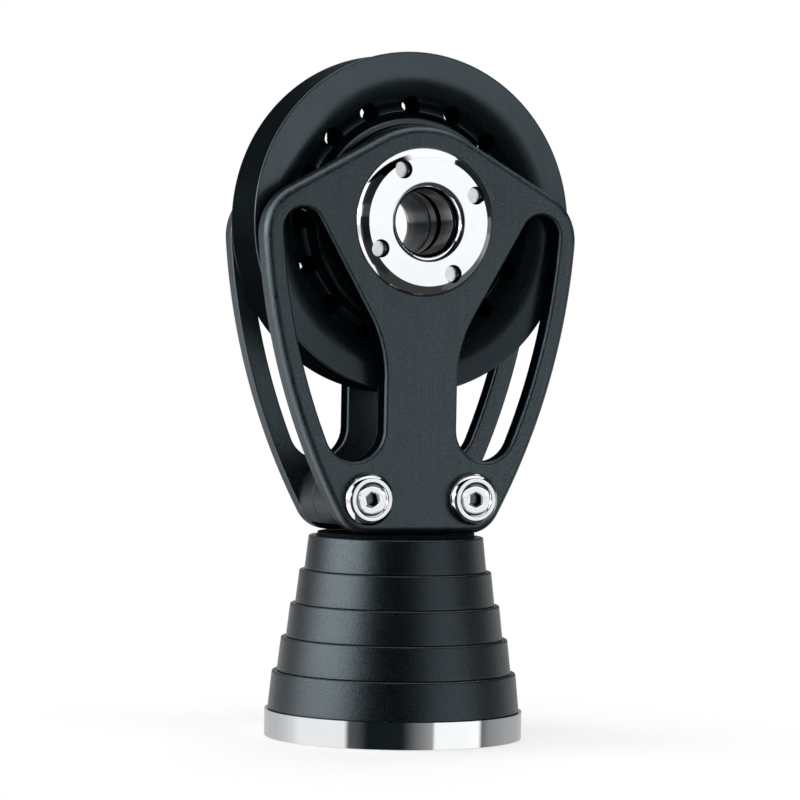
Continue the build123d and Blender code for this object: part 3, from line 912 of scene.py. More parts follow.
class Pen:
    """Draws a chain of edges on a board with the vertex extrude and spin operators."""

    def __init__(self, name: str, board: Board, start: Point) -> None:
        """Put one vertex on the board.

        Args:
            name: The piece's name.
            board: The board.
            start: Where the chain starts.
        """
        deselect()
        bpy.ops.mesh.primitive_plane_add(size=MM)
        self.piece = bpy.context.object
        self.piece.name = self.piece.data.name = name
        self.board = board
        self.at = start
        bpy.ops.object.mode_set(mode="EDIT")
        bpy.ops.mesh.select_mode(type="VERT")
        bpy.ops.mesh.select_all(action="SELECT")
        bpy.ops.mesh.merge(type="CENTER")
        bpy.ops.transform.translate(value=board.place(start))

    def line(self, *points: Point) -> Pen:
        """Extrude the chain's end to each point in turn.

        Args:
            points: The points.

        Returns:
            The pen.
        """
        for point in points:
            step = self.board.place(point) - self.board.place(self.at)
            bpy.ops.mesh.extrude_vertices_move(TRANSFORM_OT_translate={"value": step})
            self.at = point
        return self

    def arc(self, centre: Point, end: Point, fewest: int = 3) -> Pen:
        """Spin the chain's end about a centre, the shorter way round.

        Args:
            centre: The centre.
            end: Where the arc ends.
            fewest: How many edges it has at least.

        Returns:
            The pen.
        """
        start_angle = math.atan2(self.at[1] - centre[1], self.at[0] - centre[0])
        end_angle = math.atan2(end[1] - centre[1], end[0] - centre[0])
        sweep = math.remainder(end_angle - start_angle, math.tau)
        radius = math.dist(self.at, centre)
        largest = 2 * math.acos(max(0.9, 1 - ARC_FLATNESS / radius))
        bpy.ops.mesh.spin(
            steps=max(fewest, math.ceil(abs(sweep) / largest)),
            angle=-sweep,
            center=self.board.place(centre),
            axis=self.board.normal,
        )
        self.at = end
        return self

    def bow(self, end: Point, rise: float) -> Pen:
        """Draw a shallow arc.

        Args:
            end: Where it ends.
            rise: How far it rises to the left of its way, or to the right if negative.

        Returns:
            The pen.
        """
        start, finish = Vector(self.at), Vector(end)
        way = finish - start
        left = Vector((-way.y, way.x)).normalized() * math.copysign(1.0, rise)
        radius = way.length_squared / (8 * abs(rise)) + abs(rise) / 2
        return self.arc(tuple((start + finish) / 2 - left * (radius - abs(rise))), end, BOW_STEPS)

    def round(self, corner: Point, end: Point, radius: float) -> Pen:
        """Draw to a corner and round it with an arc on the way to the next point.

        Args:
            corner: The corner that the arc rounds.
            end: The point that the chain heads for after the corner.
            radius: The arc's radius.

        Returns:
            The pen.
        """
        corner_v, back, ahead = (Vector(p) for p in (corner, self.at, end))
        arrive, leave = (back - corner_v).normalized(), (ahead - corner_v).normalized()
        half = arrive.angle(leave) / 2
        reach = radius / math.tan(half)
        middle = corner_v + (arrive + leave).normalized() * radius / math.sin(half)
        self.line(tuple(corner_v + arrive * reach))
        return self.arc(tuple(middle), tuple(corner_v + leave * reach))

    @staticmethod
    def _merge() -> None:
        """Select the whole piece and merge its doubled vertices."""
        bpy.ops.mesh.select_all(action="SELECT")
        bpy.ops.mesh.remove_doubles(threshold=MERGE_DISTANCE)

    def _tidy(self) -> bpy.types.Object:
        """Merge doubled vertices, turn the faces outwards and leave edit mode.

        Returns:
            The piece.
        """
        self._merge()
        bpy.ops.mesh.normals_make_consistent(inside=False)
        bpy.ops.object.mode_set(mode="OBJECT")
        return self.piece

    def turn(self, axis: Spot, steps: int = TURN_STEPS) -> bpy.types.Object:
        """Spin the closed chain once round an axis through the board's origin.

        Args:
            axis: The axis's direction.
            steps: How many steps make the turn.

        Returns:
            The turned piece.
        """
        self._merge()
        centre = Vector(self.board.origin) * MM
        bpy.ops.mesh.spin(steps=steps, angle=math.tau, center=centre, axis=axis)
        return self._tidy()

    def thicken(self, depth: Vector) -> bpy.types.Object:
        """Fill the closed chain and extrude the face.

        Args:
            depth: How far and where to, in millimetres.

        Returns:
            The plate.
        """
        self._merge()
        bpy.ops.mesh.edge_face_add()
        bpy.ops.mesh.extrude_region_move(TRANSFORM_OT_translate={"value": depth * MM})
        return self._tidy()


def apply_modifier(piece: bpy.types.Object, kind: str, settings: dict[str, object]) -> None:
    """Add a modifier to a piece and apply it.

    Args:
        piece: The piece.
        kind: The modifier's type.
        settings: Its properties.
    """
    take_up(piece)
    modifier = piece.modifiers.new(kind.lower(), kind)
    for name, value in settings.items():
        setattr(modifier, name, value)
    bpy.ops.object.modifier_apply(modifier=modifier.name)


def cut(piece: bpy.types.Object, cutter: bpy.types.Object) -> None:
    """Cut one piece's shape out of another.

    Args:
        piece: The piece that is cut.
        cutter: The other piece, which is thrown away.
    """
    settings = {"operation": "DIFFERENCE", "solver": "EXACT", "object": cutter}
    apply_modifier(piece, "BOOLEAN", settings)
    bpy.data.objects.remove(cutter)


def join(name: str, pieces: list[bpy.types.Object]) -> bpy.types.Object:
    """Join pieces into one object.

    Args:
        name: The object's name.
        pieces: The pieces.

    Returns:
        The object.
    """
    take_up(pieces[0])
    for piece in pieces:
        piece.select_set(True)
    if len(pieces) > 1:
        bpy.ops.object.join()
    pieces[0].name = pieces[0].data.name = name
    return pieces[0]


def bar(name: str, start: Spot, end: Spot, radius: float, sides: int) -> bpy.types.Object:
    """Make a round bar from one point to another, as a cutter.

    Args:
        name: The piece's name.
        start: Where it starts, in millimetres.
        end: Where it ends.
        radius: Its radius over the corners.
        sides: How many sides it has.

    Returns:
        The bar.
    """
    start, end = Vector(start), Vector(end)
    deselect()
    bpy.ops.mesh.primitive_cylinder_add(
        vertices=sides,
        radius=radius * MM,
        depth=(end - start).length * MM,
        location=(start + end) / 2 * MM,
        rotation=(end - start).to_track_quat("Z", "Y").to_euler(),
    )
    bpy.ops.object.transform_apply(location=True, rotation=True, scale=True)
    made = bpy.context.object
    made.name = made.data.name = name
    return made


def cross_bar(
    name: str, spot: Point, radius: float, sides: int = HOLE_SIDES
) -> bpy.types.Object:
    """Make a long cutter along the axle's direction.

    Args:
        name: The piece's name.
        spot: Where it crosses the block's middle plane, sideways and upwards.
        radius: Its radius.
        sides: How many sides it has.

    Returns:
        The bar.
    """
    x, z = spot
    return bar(name, (x, -CUTTER_REACH, z), (x, CUTTER_REACH, z), radius, sides)


def turned(
    name: str,
    board: Board,
    corners: Iterable[Point],
    axis: Spot,
    steps: int = TURN_STEPS,
) -> bpy.types.Object:
    """Turn a closed profile of straight lines about an axis through the board's origin.

    Args:
        name: The piece's name.
        board: The board.
        corners: The profile's corners.
        axis: The axis's direction.
        steps: How many steps make the turn.

    Returns:
        The turned piece.
    """
    first, *others = corners
    return Pen(name, board, first).line(*others, first).turn(axis, steps)


def plate(name: str, board: Board, corners: Iterable[Point], depth: Vector) -> bpy.types.Object:
    """Make a plate with straight sides.

    Args:
        name: The piece's name.
        board: The board.
        corners: The outline's corners.
        depth: How thick it is and where to, in millimetres.

    Returns:
        The plate.
    """
    first, *others = corners
    return Pen(name, board, first).line(*others, first).thicken(depth)


def soften(piece: bpy.types.Object, width: float, segments: int = 2, angle: float = 24.0) -> None:
    """Round every edge that is sharper than an angle.

    Args:
        piece: The piece.
        width: The rounding's width, in millimetres.
        segments: How many faces it has.
        angle: The angle in degrees.
    """
    settings = {
        "width": width * MM,
        "segments": segments,
        "limit_method": "ANGLE",
        "angle_limit": math.radians(angle),
        "miter_outer": "MITER_ARC",
        "use_clamp_overlap": True,
    }
    apply_modifier(piece, "BEVEL", settings)


def smooth(piece: bpy.types.Object, angle: float = 35.0) -> None:
    """Shade a piece smoothly, with flat faces kept flat beside their roundings.

    Args:
        piece: The piece.
        angle: The angle in degrees past which an edge stays sharp.
    """
    take_up(piece)
    bpy.ops.object.shade_smooth_by_angle(angle=math.radians(angle))
    settings = {"keep_sharp": True, "weight": FLAT_FACE_WEIGHT}
    apply_modifier(piece, "WEIGHTED_NORMAL", settings)


def dress(piece: bpy.types.Object, finish: Finish) -> None:
    """Give a piece one finish all over."""
    piece.data.materials.clear()
    piece.data.materials.append(finish.material())


def touch_up(
    piece: bpy.types.Object, finish: Finish, wanted: Callable[[Vector], bool]
) -> None:
    """Give some faces of a piece another finish.

    Args:
        piece: The piece.
        finish: The other finish.
        wanted: Says yes or no to the place of a face's middle, in millimetres.
    """
    piece.data.materials.append(finish.material())
    for face in piece.data.polygons:
        if wanted(face.center / MM):
            face.material_index = len(piece.data.materials) - 1


def install(
    piece: bpy.types.Object, body: str, nodes: tuple[str, ...], finish: Finish
) -> None:
    """Dress a rigid piece, let it ride on its body and let it stand for its nodes.

    Args:
        piece: The piece.
        body: The body's name.
        nodes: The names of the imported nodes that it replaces.
        finish: The finish.
    """
    dress(piece, finish)
    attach(piece, body)
    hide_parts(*nodes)
    LOG.info("%s rides on %s for %s", piece.name, body, ", ".join(nodes))


def install_bending(
    piece: bpy.types.Object,
    bodies: tuple[str, str],
    node: str,
    finish: Finish,
) -> None:
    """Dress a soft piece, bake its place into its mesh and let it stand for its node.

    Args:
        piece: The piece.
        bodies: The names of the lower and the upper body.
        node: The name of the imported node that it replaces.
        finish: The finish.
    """
    dress(piece, finish)
    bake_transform(piece)
    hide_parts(node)
    LOG.info("%s bends from %s to %s", piece.name, *bodies)


# ---------------------------------------------------------------------------------------------
# The block's sub-assemblies
# ---------------------------------------------------------------------------------------------


@dataclass
class Wheel:
    """The sheave: a rope groove, hollow flanks, a drilled boss and the bearings' tracks."""

    rim_radius: float = 62.5
    half_width: float = 12.0
    rim_land: float = 1.0
    groove_root: float = 7.5
    groove_half_angle: float = 32.0
    flank_radius: float = 55.5
    flank_inset: float = 0.8
    flank_rise: float = 1.0
    web_radius: float = 44.6
    web_half: float = 6.5
    boss_radius: float = 42.7
    boss_half: float = 8.2
    boss_chamfer: float = 1.5
    rim_round: float = 0.5
    boss_line: Point = (40.9, 41.25)
    boss_line_depth: float = 0.4
    recess_width: float = 1.8
    recess_depth: float = 1.1
    lip_radius: float = 38.2
    lip_half: float = 11.0
    lip_edge: float = 0.5
    seat_radius: float = 35.8
    track_radius: float = 28.6
    track_half: float = 7.7
    hole_radius: float = 3.5
    hole_ring: float = 43.0
    hole_count: int = 16
    edge_break: float = 0.16
    margin: float = 0.1

    def _half_profile(self) -> list[Point]:
        """Draw the half on the +Y side, without its groove.

        Returns:
            The corners from the middle of the bore out to the flank.
        """
        boss, lip, edge = self.boss_half, self.lip_half, self.lip_edge
        recess, recess_end = boss - self.recess_depth, self.lip_radius + self.recess_width
        line, (line_start, line_end) = boss - self.boss_line_depth, self.boss_line
        return [
            (self.track_half, self.track_radius),
            (self.track_half, self.seat_radius),
            (lip - edge, self.seat_radius),
            (lip, self.seat_radius + edge),
            (lip, self.lip_radius - edge),
            (lip - edge, self.lip_radius),
            (recess, self.lip_radius),
            (recess, recess_end),
            (boss, recess_end),
            (boss, line_start),
            (line, line_start),
            (line, line_end),
            (boss, line_end),
            (boss - self.boss_chamfer, self.boss_radius),
            (self.web_half, self.boss_radius),
            (self.web_half, self.web_radius),
        ]

    def _turned(self) -> bpy.types.Object:
        """Turn the sheave.

        Returns:
            The sheave without its drilled holes.
        """
        half = self._half_profile()
        flank_end = (self.half_width - self.flank_inset, self.flank_radius)
        lean = math.radians(self.groove_half_angle)
        root = self.groove_root
        groove_half = self.half_width - self.rim_land
        apex = self.rim_radius - groove_half / math.tan(lean)
        root_centre = apex + root / math.sin(lean)
        tangent = (root * math.cos(lean), root_centre - root * math.sin(lean))

        def mirrored(point: Point) -> Point:
            """Return a point's twin on the -Y side."""
            return -point[0], point[1]

        pen = Pen("sheave_wheel", AXLE_BOARD, (0.0, self.track_radius))
        pen.line(*half).bow(flank_end, -self.flank_rise)
        corner, land = (self.half_width, self.rim_radius), (groove_half, self.rim_radius)
        pen.round(corner, land, self.rim_round).line(land, tangent)
        pen.arc((0.0, root_centre), (0.0, root_centre - root))
        pen.arc((0.0, root_centre), mirrored(tangent))
        pen.line(mirrored(land)).round(mirrored(corner), mirrored(flank_end), self.rim_round)
        pen.line(mirrored(flank_end)).bow(mirrored(half[-1]), -self.flank_rise)
        pen.line(*(mirrored(point) for point in reversed(half[:-1])), (0.0, self.track_radius))
        return pen.turn(AXLE)

    def build(self) -> None:
        """Turn the sheave, drill it and hang it on its body."""
        wheel = self._turned()
        drills = [
            cross_bar("drill", (x, AXLE_HEIGHT + z), self.hole_radius)
            for x, z in ring_of(self.hole_count, self.hole_ring)
        ]
        cut(wheel, join("drills", drills))
        soften(wheel, self.edge_break)
        smooth(wheel)
        install(wheel, "sheave", ("sheave",), SHEAVE_FINISH)
        touch_up(wheel, GROOVE_FINISH, self._in_groove)
        # Painted shade in the drilled holes and on the boss face and web.
        touch_up(wheel, SHEAVE_SHADE_FINISH, self._in_shade)

    def _in_groove(self, spot: Vector) -> bool:
        """Find out whether a place lies on the rope groove's wall.

        Args:
            spot: The place, in millimetres.

        Returns:
            Whether it does.
        """
        radius = off_axle(spot)
        slope = math.tan(math.radians(self.groove_half_angle))
        reach = self.half_width - self.rim_land - (self.rim_radius - radius) * slope
        return radius < self.rim_radius - self.margin and abs(spot.y) < reach + self.margin / 2

    def _in_shade(self, spot: Vector) -> bool:
        """Find out whether a place is one that the light hardly reaches.

        Args:
            spot: The place, in millimetres.

        Returns:
            Whether it lies in a drilled hole, on the boss face or on the web.
        """
        margin, radius = self.margin, off_axle(spot)
        if off_hole(spot, self.hole_count, self.hole_ring) < self.hole_radius + margin / 5:
            return True
        face = self.lip_radius + margin < radius < self.boss_line[0] - 1.5 * margin
        web = self.boss_radius - margin / 2 < radius < self.web_radius + margin
        return (face or web) and abs(spot.y) < self.boss_half + margin / 2


@dataclass
class Cheeks:
    """The two side plates, each with two open windows, a hub hole and two screw holes."""

    inner: float = 13.6
    thickness: float = 8.0
    top_radius: float = 35.0
    shoulder: Point = (42.6, -5.5)
    shoulder_radius: float = 19.3
    bow_radius: float = 245.0
    foot: Point = (20.6, -100.7)
    foot_radius: float = 12.8
    rib: float = 7.4
    window_top: Point = (-3.6, 7.5)
    window_foot: Point = (-75.5, 11.6)
    window_bend: float = 45.0
    foot_lean: float = 20.0
    outer_round: float = 3.0
    inner_round: float = 0.7
    window_round: float = 1.3
    window_inner_round: float = 0.9
    sleeve_radius: float = 17.03
    sleeve_sides: int = 128
    screw_hole: float = 3.1
    edge_break: float = 0.22
    round_steps: int = 6
    margin: float = 0.2
    hub_margin: float = 1.0
    screw_margin: float = 2.0
    bow: Vector = field(init=False)

    def __post_init__(self) -> None:
        """Find the centre of the large arc that touches the shoulder and the foot."""
        first, second = Vector(self.shoulder), Vector(self.foot)
        span = second - first
        reach_1 = self.bow_radius - self.shoulder_radius
        reach_2 = self.bow_radius - self.foot_radius
        along = (reach_1**2 - reach_2**2 + span.length_squared) / (2 * span.length)
        across = math.sqrt(reach_1**2 - along**2)
        unit = span.normalized()
        self.bow = first + unit * along + Vector((unit.y, -unit.x)) * across

    def _board(self, side: Side, depth: float) -> Board:
        """Return the board that lies depth millimetres from the block's middle plane."""
        return Board((0.0, side.value * depth, AXLE_HEIGHT), ACROSS, UPRIGHT)

    @staticmethod
    def _normal(first: Vector, radius: float, second: Vector, other: float, lean: int) -> Vector:
        """Find the unit normal of a line that touches two circles.

        Args:
            first: The first circle's centre.
            radius: Its radius.
            second: The second circle's centre.
            other: Its radius, negative where the line passes on its other side.
            lean: 1 for the line to the left of the first circle and -1 for the right.

        Returns:
            The normal.
        """
        span = second - first
        drop = (radius - other) / span.length
        unit = span.normalized()
        return unit * drop + Vector((-unit.y, unit.x)) * lean * math.sqrt(1 - drop**2)

    def _from_bow(self, toward: Vector, inset: float = 0.0) -> Vector:
        """Return the point of the large arc, or inside it, towards another point."""
        return self.bow + (toward - self.bow).normalized() * (self.bow_radius - inset)

    def _outline(self, side: Side, depth: float, thickness: float) -> bpy.types.Object:
        """Make the cheek's solid plate.

        Args:
            side: The cheek's side.
            depth: How far its inner face lies from the middle plane.
            thickness: How thick it is.

        Returns:
            The plate.
        """
        shoulder, foot, hub = Vector(self.shoulder), Vector(self.foot), Vector((0.0, 0.0))
        slope = self._normal(hub, self.top_radius, shoulder, self.shoulder_radius, 1)
        top_end = slope * self.top_radius
        shoulder_start = shoulder + slope * self.shoulder_radius
        shoulder_end, foot_start = self._from_bow(shoulder), self._from_bow(foot)
        foot_end = foot + Vector((0.0, -self.foot_radius))

        def left(point: Vector) -> Point:
            """Return a point's twin on the left."""
            return -point.x, point.y

        pen = Pen(f"{side.label}_cheek_plate", self._board(side, depth), (0.0, self.top_radius))
        pen.arc((0.0, 0.0), tuple(top_end)).line(tuple(shoulder_start))
        pen.arc(self.shoulder, tuple(shoulder_end)).arc(tuple(self.bow), tuple(foot_start))
        pen.arc(self.foot, tuple(foot_end)).line(left(foot_end))
        pen.arc(left(foot), left(foot_start)).arc(left(self.bow), left(shoulder_end))
        pen.arc(left(shoulder), left(shoulder_start)).line(left(top_end))
        pen.arc((0.0, 0.0), (0.0, self.top_radius))
        return pen.thicken(Vector((0.0, side.value * thickness, 0.0)))

    def _window(self, side: Side, hand: int) -> bpy.types.Object:
        """Make the bar that cuts one window.

        Args:
            side: The cheek's side.
            hand: 1 for the right window and -1 for the left.

        Returns:
            The bar.
        """
        (top_y, top_r), (low_y, low_r) = self.window_top, self.window_foot

        def corner_circle(height: float, radius: float) -> Vector:
            """Return the centre of a circle that touches the outer rib."""
            reach = self.bow_radius - self.rib - radius
            across = math.sqrt(reach**2 - (height - self.bow.y) ** 2)
            return Vector((self.bow.x + across, height))

        top, low = corner_circle(top_y, top_r), corner_circle(low_y, low_r)
        slant = self._normal(Vector((0.0, 0.0)), self.top_radius, top, -top_r, -1)
        inner_x = low.x - low_r
        start = top - slant * top_r
        corner = (inner_x, (self.top_radius - slant.x * inner_x) / slant.y)
        lean = math.radians(self.foot_lean)
        rib_top, rib_low = self._from_bow(top, self.rib), self._from_bow(low, self.rib)
        middle = low + Vector((math.sin(lean), -math.cos(lean))) * low_r

        def at(point: Point | Vector) -> Point:
            """Return a point on the window's own hand."""
            return hand * point[0], point[1]

        board = self._board(side, self.inner - OVERCUT)
        pen = Pen("window", board, at(start))
        pen.round(at(corner), at((inner_x, low.y)), self.window_bend).line(at((inner_x, low.y)))
        pen.arc(at(low), at(middle)).arc(at(low), at(rib_low))
        pen.arc(at(self.bow), at(rib_top)).arc(at(top), at(start))
        return pen.thicken(Vector((0.0, side.value * (self.thickness + 2 * OVERCUT), 0.0)))

    def _by_window(self, spot: Vector) -> bool:
        """Find out whether a place on the plate belongs to a window.

        Args:
            spot: The place, in millimetres.

        Returns:
            Whether it lies inside the outer rib and away from the hub and the screws.
        """
        height = spot.z - AXLE_HEIGHT
        near_hub = off_axle(spot) < self.top_radius - self.hub_margin
        off_screw = math.dist((abs(spot.x), height), self.foot)
        near_screw = off_screw < self.foot_radius - self.screw_margin
        return self._inside(spot) and not near_hub and not near_screw

    def _inside(self, spot: Vector) -> bool:
        """Return whether a place lies inside the outer rib, between foot and window tops."""
        height = spot.z - AXLE_HEIGHT
        between = self.foot[1] < height < sum(self.window_top) + self.margin
        return between and abs(spot.x) < self._bow_reach(height) - self.rib / 2

    def _round(self, plate: bpy.types.Object, depth: float, width: float, windows: bool) -> None:
        """Round the edges that lie at one depth.

        Args:
            plate: The cheek's plate.
            depth: How far the edges lie from the middle plane.
            width: The rounding's width.
            windows: True for the windows' edges and False for the outline's.
        """

        def wanted(first: Vector, second: Vector) -> bool:
            """Return whether an edge is one to round."""
            if any(abs(abs(end.y) - depth) > EDGE_MARGIN for end in (first, second)):
                return False
            return self._by_window(first) if windows else not self._inside(first)

        with editing(plate):
            select_edges(plate, wanted)
            bpy.ops.mesh.bevel(
                offset=width * MM, segments=self.round_steps, profile=0.5, affect="EDGES"
            )

    def _bow_reach(self, height: float) -> float:
        """Return how far the large arc reaches sideways at a height above the axle."""
        return self.bow.x + math.sqrt(self.bow_radius**2 - (height - self.bow.y) ** 2)

    def build(self) -> None:
        """Make both cheeks."""
        outer = self.inner + self.thickness
        for side in Side:
            plate = self._outline(side, self.inner, self.thickness)
            self._round(plate, outer, self.outer_round, windows=False)
            self._round(plate, self.inner, self.inner_round, windows=False)
            for hand in (-1, 1):
                cut(plate, self._window(side, hand))
                spot = (hand * SCREW_REACH, SCREW_HEIGHT)
                cut(plate, cross_bar("screw_hole", spot, self.screw_hole))
            hub = (0.0, AXLE_HEIGHT)
            cut(plate, cross_bar("hub_hole", hub, self.sleeve_radius, self.sleeve_sides))
            self._round(plate, outer, self.window_round, windows=True)
            self._round(plate, self.inner, self.window_inner_round, windows=True)
            soften(plate, self.edge_break)
            smooth(plate)
            install(plate, "head", (f"{side.label}_cheek",), CHEEK_FINISH)
            # Painted shade: the windows' inner walls get the darker, unshiny copy of the anodising.
            touch_up(plate, WINDOW_SHADE_FINISH, self._in_window)

    def _in_window(self, spot: Vector) -> bool:
        """Return whether a place lies on a window's wall, between its roundings."""
        first = self.inner + self.window_inner_round
        deep = first < abs(spot.y) < self.inner + self.thickness - self.window_round
        return deep and self._by_window(spot)


@dataclass
class HubCaps:
    """The two polished caps that are screwed together through the hub."""

    cheek: float = 21.6
    face: float = 25.0
    sleeve_radius: float = 17.0
    outer_radius: float = 27.1
    edge: float = 0.05
    face_radius: float = 23.4
    chamfer: Point = (1.06, 1.70)
    crown: float = 0.175
    bore: float = 11.6
    lip: float = 3.1
    lip_reach: float = 5.4
    lip_steps: int = 28
    rebate: float = 0.35
    nose_radius: float = 14.9
    relief_radius: float = 12.4
    nose_reach: float = 1.0
    nose_start: float = 10.0
    gap: float = 0.05
    thread_pitch: float = 0.8
    thread_count: int = 6
    thread_height: float = 0.45
    thread_start: float = 0.5
    socket_bore_end: float = 2.6
    edge_break: float = 0.14
    margin: float = 0.05
    bore_margin: float = 0.5
    floor_margin: float = 0.04
    mouth_margin: float = 0.2
    key_count: int = 4
    key_sides: int = 48
    key_ring: float = 21.2
    key_radius: float = 3.3
    key_depth: float = 3.0
    key_chamfer: float = 0.5
    key_start: float = 28.5

    def _flange(self, side: Side) -> Pen:
        """Draw the flange, from the sleeve over the polished face into the bore.

        Args:
            side: The cap's side.

        Returns:
            The pen, at the inner end of the lip.
        """
        pen = Pen(f"{side.label}_cap_ring", side_board(side), (self.cheek, self.sleeve_radius))
        waist, foot = self.outer_radius - self.rebate, self.cheek + self.rebate
        pen.line((self.cheek, waist), (foot, waist), (foot, self.outer_radius))
        pen.line((self.cheek + self.edge + self.rebate, self.outer_radius))
        drop, width = self.chamfer
        pen.bow((self.face - drop, self.face_radius + width), self.crown)
        pen.line((self.face, self.face_radius))
        for step in range(self.lip_steps + 1):
            turn = math.pi / 2 * step / self.lip_steps
            back = self.lip_reach * (1 - math.cos(turn))
            pen.line((self.face - back, self.bore + self.lip * (1 - math.sin(turn))))
        return pen

    def _nose_cap(self) -> bpy.types.Object:
        """Turn the near cap, whose nose reaches through the middle and ends in fine threads.

        Returns:
            The cap.
        """
        pen = self._flange(Side.NEAR)
        start, relief = self.nose_start + self.gap, self.relief_radius
        pen.line((start, self.bore), (start, relief))
        for index in range(self.thread_count):
            root = start - self.thread_start - index * self.thread_pitch
            crest = root - self.thread_pitch / 2
            pen.line((root, relief), (crest, relief - self.thread_height))
        return pen.line(
            (start - self.thread_start - self.thread_count * self.thread_pitch, relief),
            (-self.nose_reach, relief),
            (-self.nose_reach, self.nose_radius),
            (self.nose_start, self.nose_radius),
            (self.nose_start, self.sleeve_radius),
            (self.cheek, self.sleeve_radius),
        ).turn(AXLE)

    def _socket_cap(self) -> bpy.types.Object:
        """Turn the far cap, which takes in the near one's nose.

        Returns:
            The cap.
        """
        seat = self.nose_reach + 2 * self.gap
        mouth = -self.nose_start + self.gap
        pen = self._flange(Side.FAR)
        return pen.line(
            (self.nose_reach + self.socket_bore_end, self.bore),
            (seat, self.relief_radius),
            (seat, self.nose_radius + self.gap),
            (mouth, self.nose_radius + self.gap),
            (mouth, self.sleeve_radius),
            (self.cheek, self.sleeve_radius),
        ).turn(AXLE)

    def _key_holes(self, side: Side) -> bpy.types.Object:
        """Make the cutter for the blind holes that the cap is turned by.

        Args:
            side: The cap's side.

        Returns:
            The cutter.
        """
        floor, outside = self.face - self.key_depth, self.face + OVERCUT
        radius = self.key_radius
        corners = (
            (floor, 0.0),
            (floor, radius - self.key_chamfer),
            (floor + self.key_chamfer, radius),
            (outside, radius),
            (outside, 0.0),
        )
        holes = [
            turned("key_hole", side_board(side, x, AXLE_HEIGHT + z), corners, AXLE, self.key_sides)
            for x, z in ring_of(self.key_count, self.key_ring, self.key_start)
        ]
        return join("key_holes", holes)

    def build(self) -> None:
        """Make both caps."""
        for side, cap in ((Side.NEAR, self._nose_cap()), (Side.FAR, self._socket_cap())):
            cut(cap, self._key_holes(side))
            soften(cap, self.edge_break, angle=METAL_ANGLE)
            smooth(cap)
            install(cap, "head", (f"{side.label}_hub_cap",), CAP_FINISH)
            # Painted shade on the bore's wall, darker deeper in.
            touch_up(cap, BORE_SHADE_FINISH, self._in_bore)
            # Painted shade on the key holes' walls and chamfers.
            touch_up(cap, KEY_WALL_SHADE_FINISH, self._in_key_hole)
            touch_up(cap, KEY_FLOOR_FINISH, self._on_key_floor)

    def _on_key_floor(self, spot: Vector) -> bool:
        """Return whether a place lies on the floor of one of the key holes."""
        on_floor = abs(abs(spot.y) - self.face + self.key_depth) < self.floor_margin
        return on_floor and self._in_key_hole(spot)

    def _in_key_hole(self, spot: Vector) -> bool:
        """Return whether a place lies below the face in one of the key holes."""
        off = off_hole(spot, self.key_count, self.key_ring, self.key_start)
        floor = self.face - self.key_depth - 2 * self.margin
        deep = floor < abs(spot.y) < self.face - self.mouth_margin
        return deep and off < self.key_radius + self.margin

    def _in_bore(self, spot: Vector) -> bool:
        """Return whether a place lies on the bore's wall, behind the lip."""
        deep = abs(spot.y) < self.face - self.lip_reach - self.margin
        return deep and off_axle(spot) < self.nose_radius - self.bore_margin


